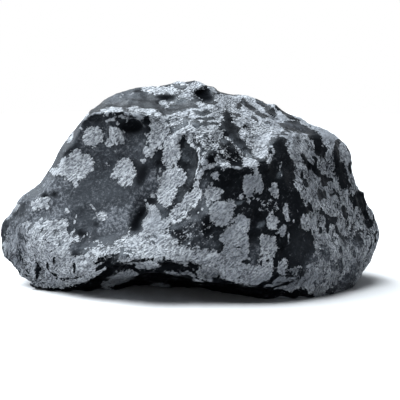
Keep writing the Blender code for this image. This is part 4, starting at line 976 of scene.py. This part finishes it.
def add(tree, kind, inputs=None, **settings):
    """A shader node with its settings, and its inputs set or linked by name or number."""
    made = tree.nodes.new("ShaderNode" + kind)
    for name, value in settings.items():
        setattr(made, name, value)
    for socket, value in (inputs or {}).items():
        if isinstance(value, bpy.types.NodeSocket):
            tree.links.new(value, made.inputs[socket])
        else:
            made.inputs[socket].default_value = value
    return made


def sums(tree, operation, first, second=0.0, third=0.0):
    return add(tree, "Math", {0: first, 1: second, 2: third}, operation=operation).outputs[0]


def times(tree, first, second):
    return sums(tree, "MULTIPLY", first, second)


def plus(tree, value, share, rest):
    """That share of the value, on top of the rest."""
    return sums(tree, "MULTIPLY_ADD", value, share, rest)


def ramp(tree, value, low, high, to_low=0.0, to_high=1.0, kind="SMOOTHSTEP"):
    """The value taken from low..high to other bounds, and held there beyond them."""
    settings = {"Value": value, "From Min": low, "From Max": high, "To Min": to_low, "To Max": to_high}
    return add(tree, "MapRange", settings, interpolation_type=kind).outputs["Result"]


def slope(tree, value, *bounds):
    """The same in a straight line."""
    return ramp(tree, value, *bounds, kind="LINEAR")


def blend(tree, share, first, second, kind="RGBA"):
    """A colour between two colours, or a number between two numbers."""
    return add(tree, "Mix", {"Factor": share, "A": first, "B": second}, data_type=kind).outputs["Result"]


def noise(tree, place, size, detail, rough):
    """Noise from 0 to 1 with lumps of that many millimetres."""
    inputs = {"Vector": place, "Scale": 1.0 / size, "Detail": detail, "Roughness": rough}
    return add(tree, "TexNoise", inputs).outputs["Fac"]


def drawn_noise(tree, place, at_ends, ways, kind):
    """Noise drawn out one way in the middle of the stone and another way at its ends."""
    halves = []
    for turn, draw in ways:
        inputs = {"Vector": place, "Rotation": (0.0, math.radians(turn), 0.0), "Scale": (draw, 1.0, 1.0)}
        drawn = add(tree, "Mapping", inputs, vector_type="TEXTURE").outputs[0]
        halves.append(noise(tree, drawn, *kind))
    return blend(tree, at_ends, *halves, "FLOAT")


def attribute(tree, name):
    return add(tree, "Attribute", attribute_name=name).outputs["Fac"]


def flake_share(tree, place, fibres, crumbs, grain, tears):
    """1 in a flake and 0 in the glass, with a ragged edge and tears between them."""
    lobe = add(tree, "TexVoronoi", {"Vector": place, "Scale": 1.0 / LOBE_SIZE}).outputs["Distance"]
    edge = plus(tree, lobe, -LOBE_REACH, sums(tree, "ADD", attribute(tree, "flake"), LOBE_REACH / 2))
    for value, reach in ((crumbs, CRUMB_REACH), (fibres, FIBRE_REACH), (grain, GRAIN_REACH)):
        edge = plus(tree, sums(tree, "SUBTRACT", value, NOISE_MIDDLE), reach, edge)
    gap = sums(tree, "ABSOLUTE", sums(tree, "SUBTRACT", tears, NOISE_MIDDLE))
    whole = sums(tree, "SUBTRACT", gap, times(tree, attribute(tree, "broken"), TEAR_WIDTH))
    edge = sums(tree, "MINIMUM", edge, plus(tree, whole, TEAR_SLOPE, EDGE_BLUR))
    return ramp(tree, edge, -EDGE_BLUR, EDGE_BLUR)


def flake_colour(tree, tone, mottle, dull_and_shade):
    """Grainy pale grey, darker in patches and in the dull regions, which are partly painted shade."""
    colour = blend(tree, ramp(tree, tone, *BRIGHT_TONES), FLAKE_DARK, FLAKE_LIGHT)
    colour = blend(tree, ramp(tree, mottle, *MOTTLE_TO_MIDDLE), colour, FLAKE_MIDDLE)
    return blend(tree, dull_and_shade, colour, FLAKE_DULL_AND_SHADE)


def smoke_and_sheen_share(tree, place, dust):
    """How smoky the glass is, in clouds and dust; this grey is partly painted sheen and painted light.
    """
    cloud = slope(tree, noise(tree, place, *CLOUD_NOISE), *CLOUD_TO_SMOKE_AND_SHEEN)
    smoke_and_sheen = times(tree, attribute(tree, "smoke_and_sheen"), cloud)
    return times(tree, smoke_and_sheen, slope(tree, dust, *DUST_TO_SMOKE_AND_SHEEN))


def specks(tree, place):
    """1 in small round specks strewn over the stone, 0 between them."""
    cells = add(tree, "TexVoronoi", {"Vector": place, "Scale": 1.0 / SPECK_ROOM}).outputs
    pick = add(tree, "SeparateColor", {0: cells["Color"]}).outputs[0]
    radius = ramp(tree, pick, *SPECK_PICK, 0.0, SPECK_SIZE)
    return sums(tree, "LESS_THAN", cells["Distance"], sums(tree, "DIVIDE", radius, SPECK_ROOM))


def glass_colour(tree, place, smoke_and_sheen, deep_shade, tone, mottle, grain, dust):
    """Black, smoky in places with a haze that is partly painted sheen, with grit in the smoke, faint
    flecks, pale ridges that are partly chipped glass and partly painted highlight, and specks; pure
    black in the places of painted deep shade.
    """
    # Smoky grey, partly painted sheen and painted light on the glass.
    colour = blend(tree, smoke_and_sheen, GLASS_BLACK, GLASS_SMOKE_AND_SHEEN)
    grit = times(tree, ramp(tree, dust, *DUST_TO_GRIT), slope(tree, smoke_and_sheen, *SMOKE_AND_SHEEN_TO_GRIT))
    colour = blend(tree, grit, colour, CHIP_PALE)
    flecks = times(tree, ramp(tree, tone, *TONE_TO_FLECK), ramp(tree, mottle, *MOTTLE_TO_FLECK))
    colour = blend(tree, flecks, colour, CHIP_PALE)
    # Painted shade: pure black in the deep places.
    colour = blend(tree, deep_shade, colour, GLASS_BLACK)
    # Pale standing ridges, partly chipped glass and partly painted highlight.
    chips = ramp(tree, plus(tree, grain, CHIP_AND_HIGHLIGHT_GRAIN, attribute(tree, "ridge")), *RIDGE_TO_CHIP_AND_HIGHLIGHT)
    return blend(tree, sums(tree, "MAXIMUM", chips, specks(tree, place)), colour, CHIP_PALE)


def obsidian():
    """Black glass with pale flakes of grainy crystal."""
    material = bpy.data.materials.new("snowflake_obsidian")
    material.use_nodes = True
    tree = material.node_tree
    shader = tree.nodes["Principled BSDF"]
    metres = add(tree, "TexCoord").outputs["Object"]
    place = add(tree, "VectorMath", {0: metres, 3: 1.0 / MM}, operation="SCALE").outputs[0]

    aside = add(tree, "SeparateXYZ", {0: place}).outputs["X"]
    at_ends = sums(tree, "MAXIMUM", ramp(tree, aside, *RIGHT_FROM), ramp(tree, aside, *LEFT_FROM))
    fibres = drawn_noise(tree, place, at_ends, FIBRE_WAYS, FIBRE_NOISE)
    crumbs = drawn_noise(tree, place, at_ends, CRUMB_WAYS, CRUMB_NOISE)
    tears = drawn_noise(tree, place, at_ends, TEAR_WAYS, TEAR_NOISE)
    grain = noise(tree, place, *GRAIN_NOISE)
    mottle = noise(tree, place, *MOTTLE_NOISE)
    dust = noise(tree, place, *DUST_NOISE)
    tone = plus(tree, fibres, FIBRE_SHARE, times(tree, grain, GRAIN_SHARE))
    tone = plus(tree, crumbs, CRUMB_SHARE, tone)

    dull_and_shade = attribute(tree, "dull_and_shade")
    deep_shade = attribute(tree, "deep_shade")
    smoke_and_sheen = smoke_and_sheen_share(tree, place, dust)
    pale = flake_share(tree, place, fibres, crumbs, grain, tears)
    glass = glass_colour(tree, place, smoke_and_sheen, deep_shade, tone, mottle, grain, dust)
    colour = blend(tree, pale, glass, flake_colour(tree, tone, mottle, dull_and_shade))

    # In the painted deep shade the glass is made rough and nearly without glint.
    rough = blend(tree, deep_shade, slope(tree, smoke_and_sheen, *SMOKE_AND_SHEEN_TO_ROUGHNESS), DEEP_SHADE_ROUGHNESS, "FLOAT")
    rough = blend(tree, pale, rough, FLAKE_ROUGHNESS, "FLOAT")
    glint = times(tree, slope(tree, smoke_and_sheen, *SMOKE_AND_SHEEN_TO_GLINT), slope(tree, deep_shade, *DEEP_SHADE_TO_GLINT))
    relief = times(tree, tone, times(tree, pale, slope(tree, dull_and_shade, *DULL_AND_SHADE_TO_BUMP)))
    relief = plus(tree, dust, blend(tree, pale, GLASS_BUMP, 0.0, "FLOAT"), relief)
    bump = add(tree, "Bump", {"Height": relief, "Distance": MM, "Strength": 1.0}).outputs["Normal"]
    looks = {"Base Color": colour, "Roughness": rough, "Specular IOR Level": glint, "Normal": bump}
    for name, value in looks.items():
        tree.links.new(value, shader.inputs[name])
    shader.inputs["IOR"].default_value = GLASS_IOR
    shader.inputs["Specular Tint"].default_value = GLINT_TINT
    return material


def white_paper():
    """White to the eye, a little darker in the light that it gives back to the stone."""
    material = bpy.data.materials.new("white_paper")
    material.use_nodes = True
    tree = material.node_tree
    shader = tree.nodes["Principled BSDF"]
    given_back = add(tree, "LightPath").outputs["Is Diffuse Ray"]
    tree.links.new(blend(tree, given_back, FLOOR_COLOUR, FLOOR_BOUNCE), shader.inputs["Base Color"])
    shader.inputs["Roughness"].default_value = 1.0
    shader.inputs["Specular IOR Level"].default_value = 0.0
    return material


def lay_floor():
    bpy.ops.mesh.primitive_circle_add(vertices=FLOOR_CORNERS, radius=FLOOR_RADIUS, fill_type="NGON")
    floor = bpy.context.object
    floor.name = "floor"
    floor.data.materials.append(white_paper())
    floor.visible_glossy = False


def hang_softboxes():
    """Square soft lamps aimed at the stone, whose brightness is the same at any width."""
    for name, place, size, glow in SOFTBOXES:
        lamp = bpy.data.lights.new(name, "AREA")
        lamp.shape = "SQUARE"
        lamp.size = size
        lamp.energy = glow * (2.0 * size) ** 2
        lamp.color = LAMP_TINT
        holder = bpy.data.objects.new(name, lamp)
        bpy.context.scene.collection.objects.link(holder)
        holder.location = place
        aim = Vector((0.0, 0.0, VIEW_HEIGHT * MM)) - Vector(place)
        holder.rotation_euler = aim.to_track_quat("-Z", "Y").to_euler()


def light_room():
    """Soft surroundings that light the stone, and plain white where the camera sees past it."""
    world = bpy.data.worlds.new("studio")
    world.use_nodes = True
    tree = world.node_tree
    way = add(tree, "SeparateXYZ", {0: add(tree, "TexCoord").outputs["Generated"]}).outputs
    back = times(tree, ramp(tree, way["Y"], *BACK_FROM), ramp(tree, way["Z"], *BACK_RISE))
    glow = blend(tree, back, ramp(tree, way["Z"], *FRONT_RISE), ROOM_BACK, "FLOAT")
    glow = times(tree, glow, ramp(tree, way["Z"], *HORIZON))
    to_camera = add(tree, "LightPath").outputs["Is Camera Ray"]
    surface = tree.nodes["Background"].inputs
    tree.links.new(blend(tree, to_camera, ROOM_TINT, PAPER_WHITE), surface["Color"])
    tree.links.new(blend(tree, to_camera, glow, 1.0, "FLOAT"), surface["Strength"])
    bpy.context.scene.world = world
    bpy.context.scene.view_settings.view_transform = "Standard"


def place_camera():
    """The camera at the picture's own viewpoint, looking along the picture's axis."""
    lens = bpy.data.cameras.new("camera")
    lens.sensor_width = SENSOR
    lens.lens = FOCAL
    camera = bpy.data.objects.new("camera", lens)
    bpy.context.scene.collection.objects.link(camera)
    camera.location = (EYE + SHIFT) * MM
    camera.rotation_euler = Vector(LOOK).to_track_quat("-Z", "Y").to_euler()
    bpy.context.scene.camera = camera


def main():
    mesh = stone_mesh()
    mesh.name = "stone"
    stone = bpy.data.objects.new("stone", mesh)
    bpy.context.scene.collection.objects.link(stone)
    mesh.materials.append(obsidian())
    mesh.shade_smooth()
    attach(stone, "root")
    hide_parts("snowflake_obsidian")
    lay_floor()
    hang_softboxes()
    light_room()
    place_camera()


main()
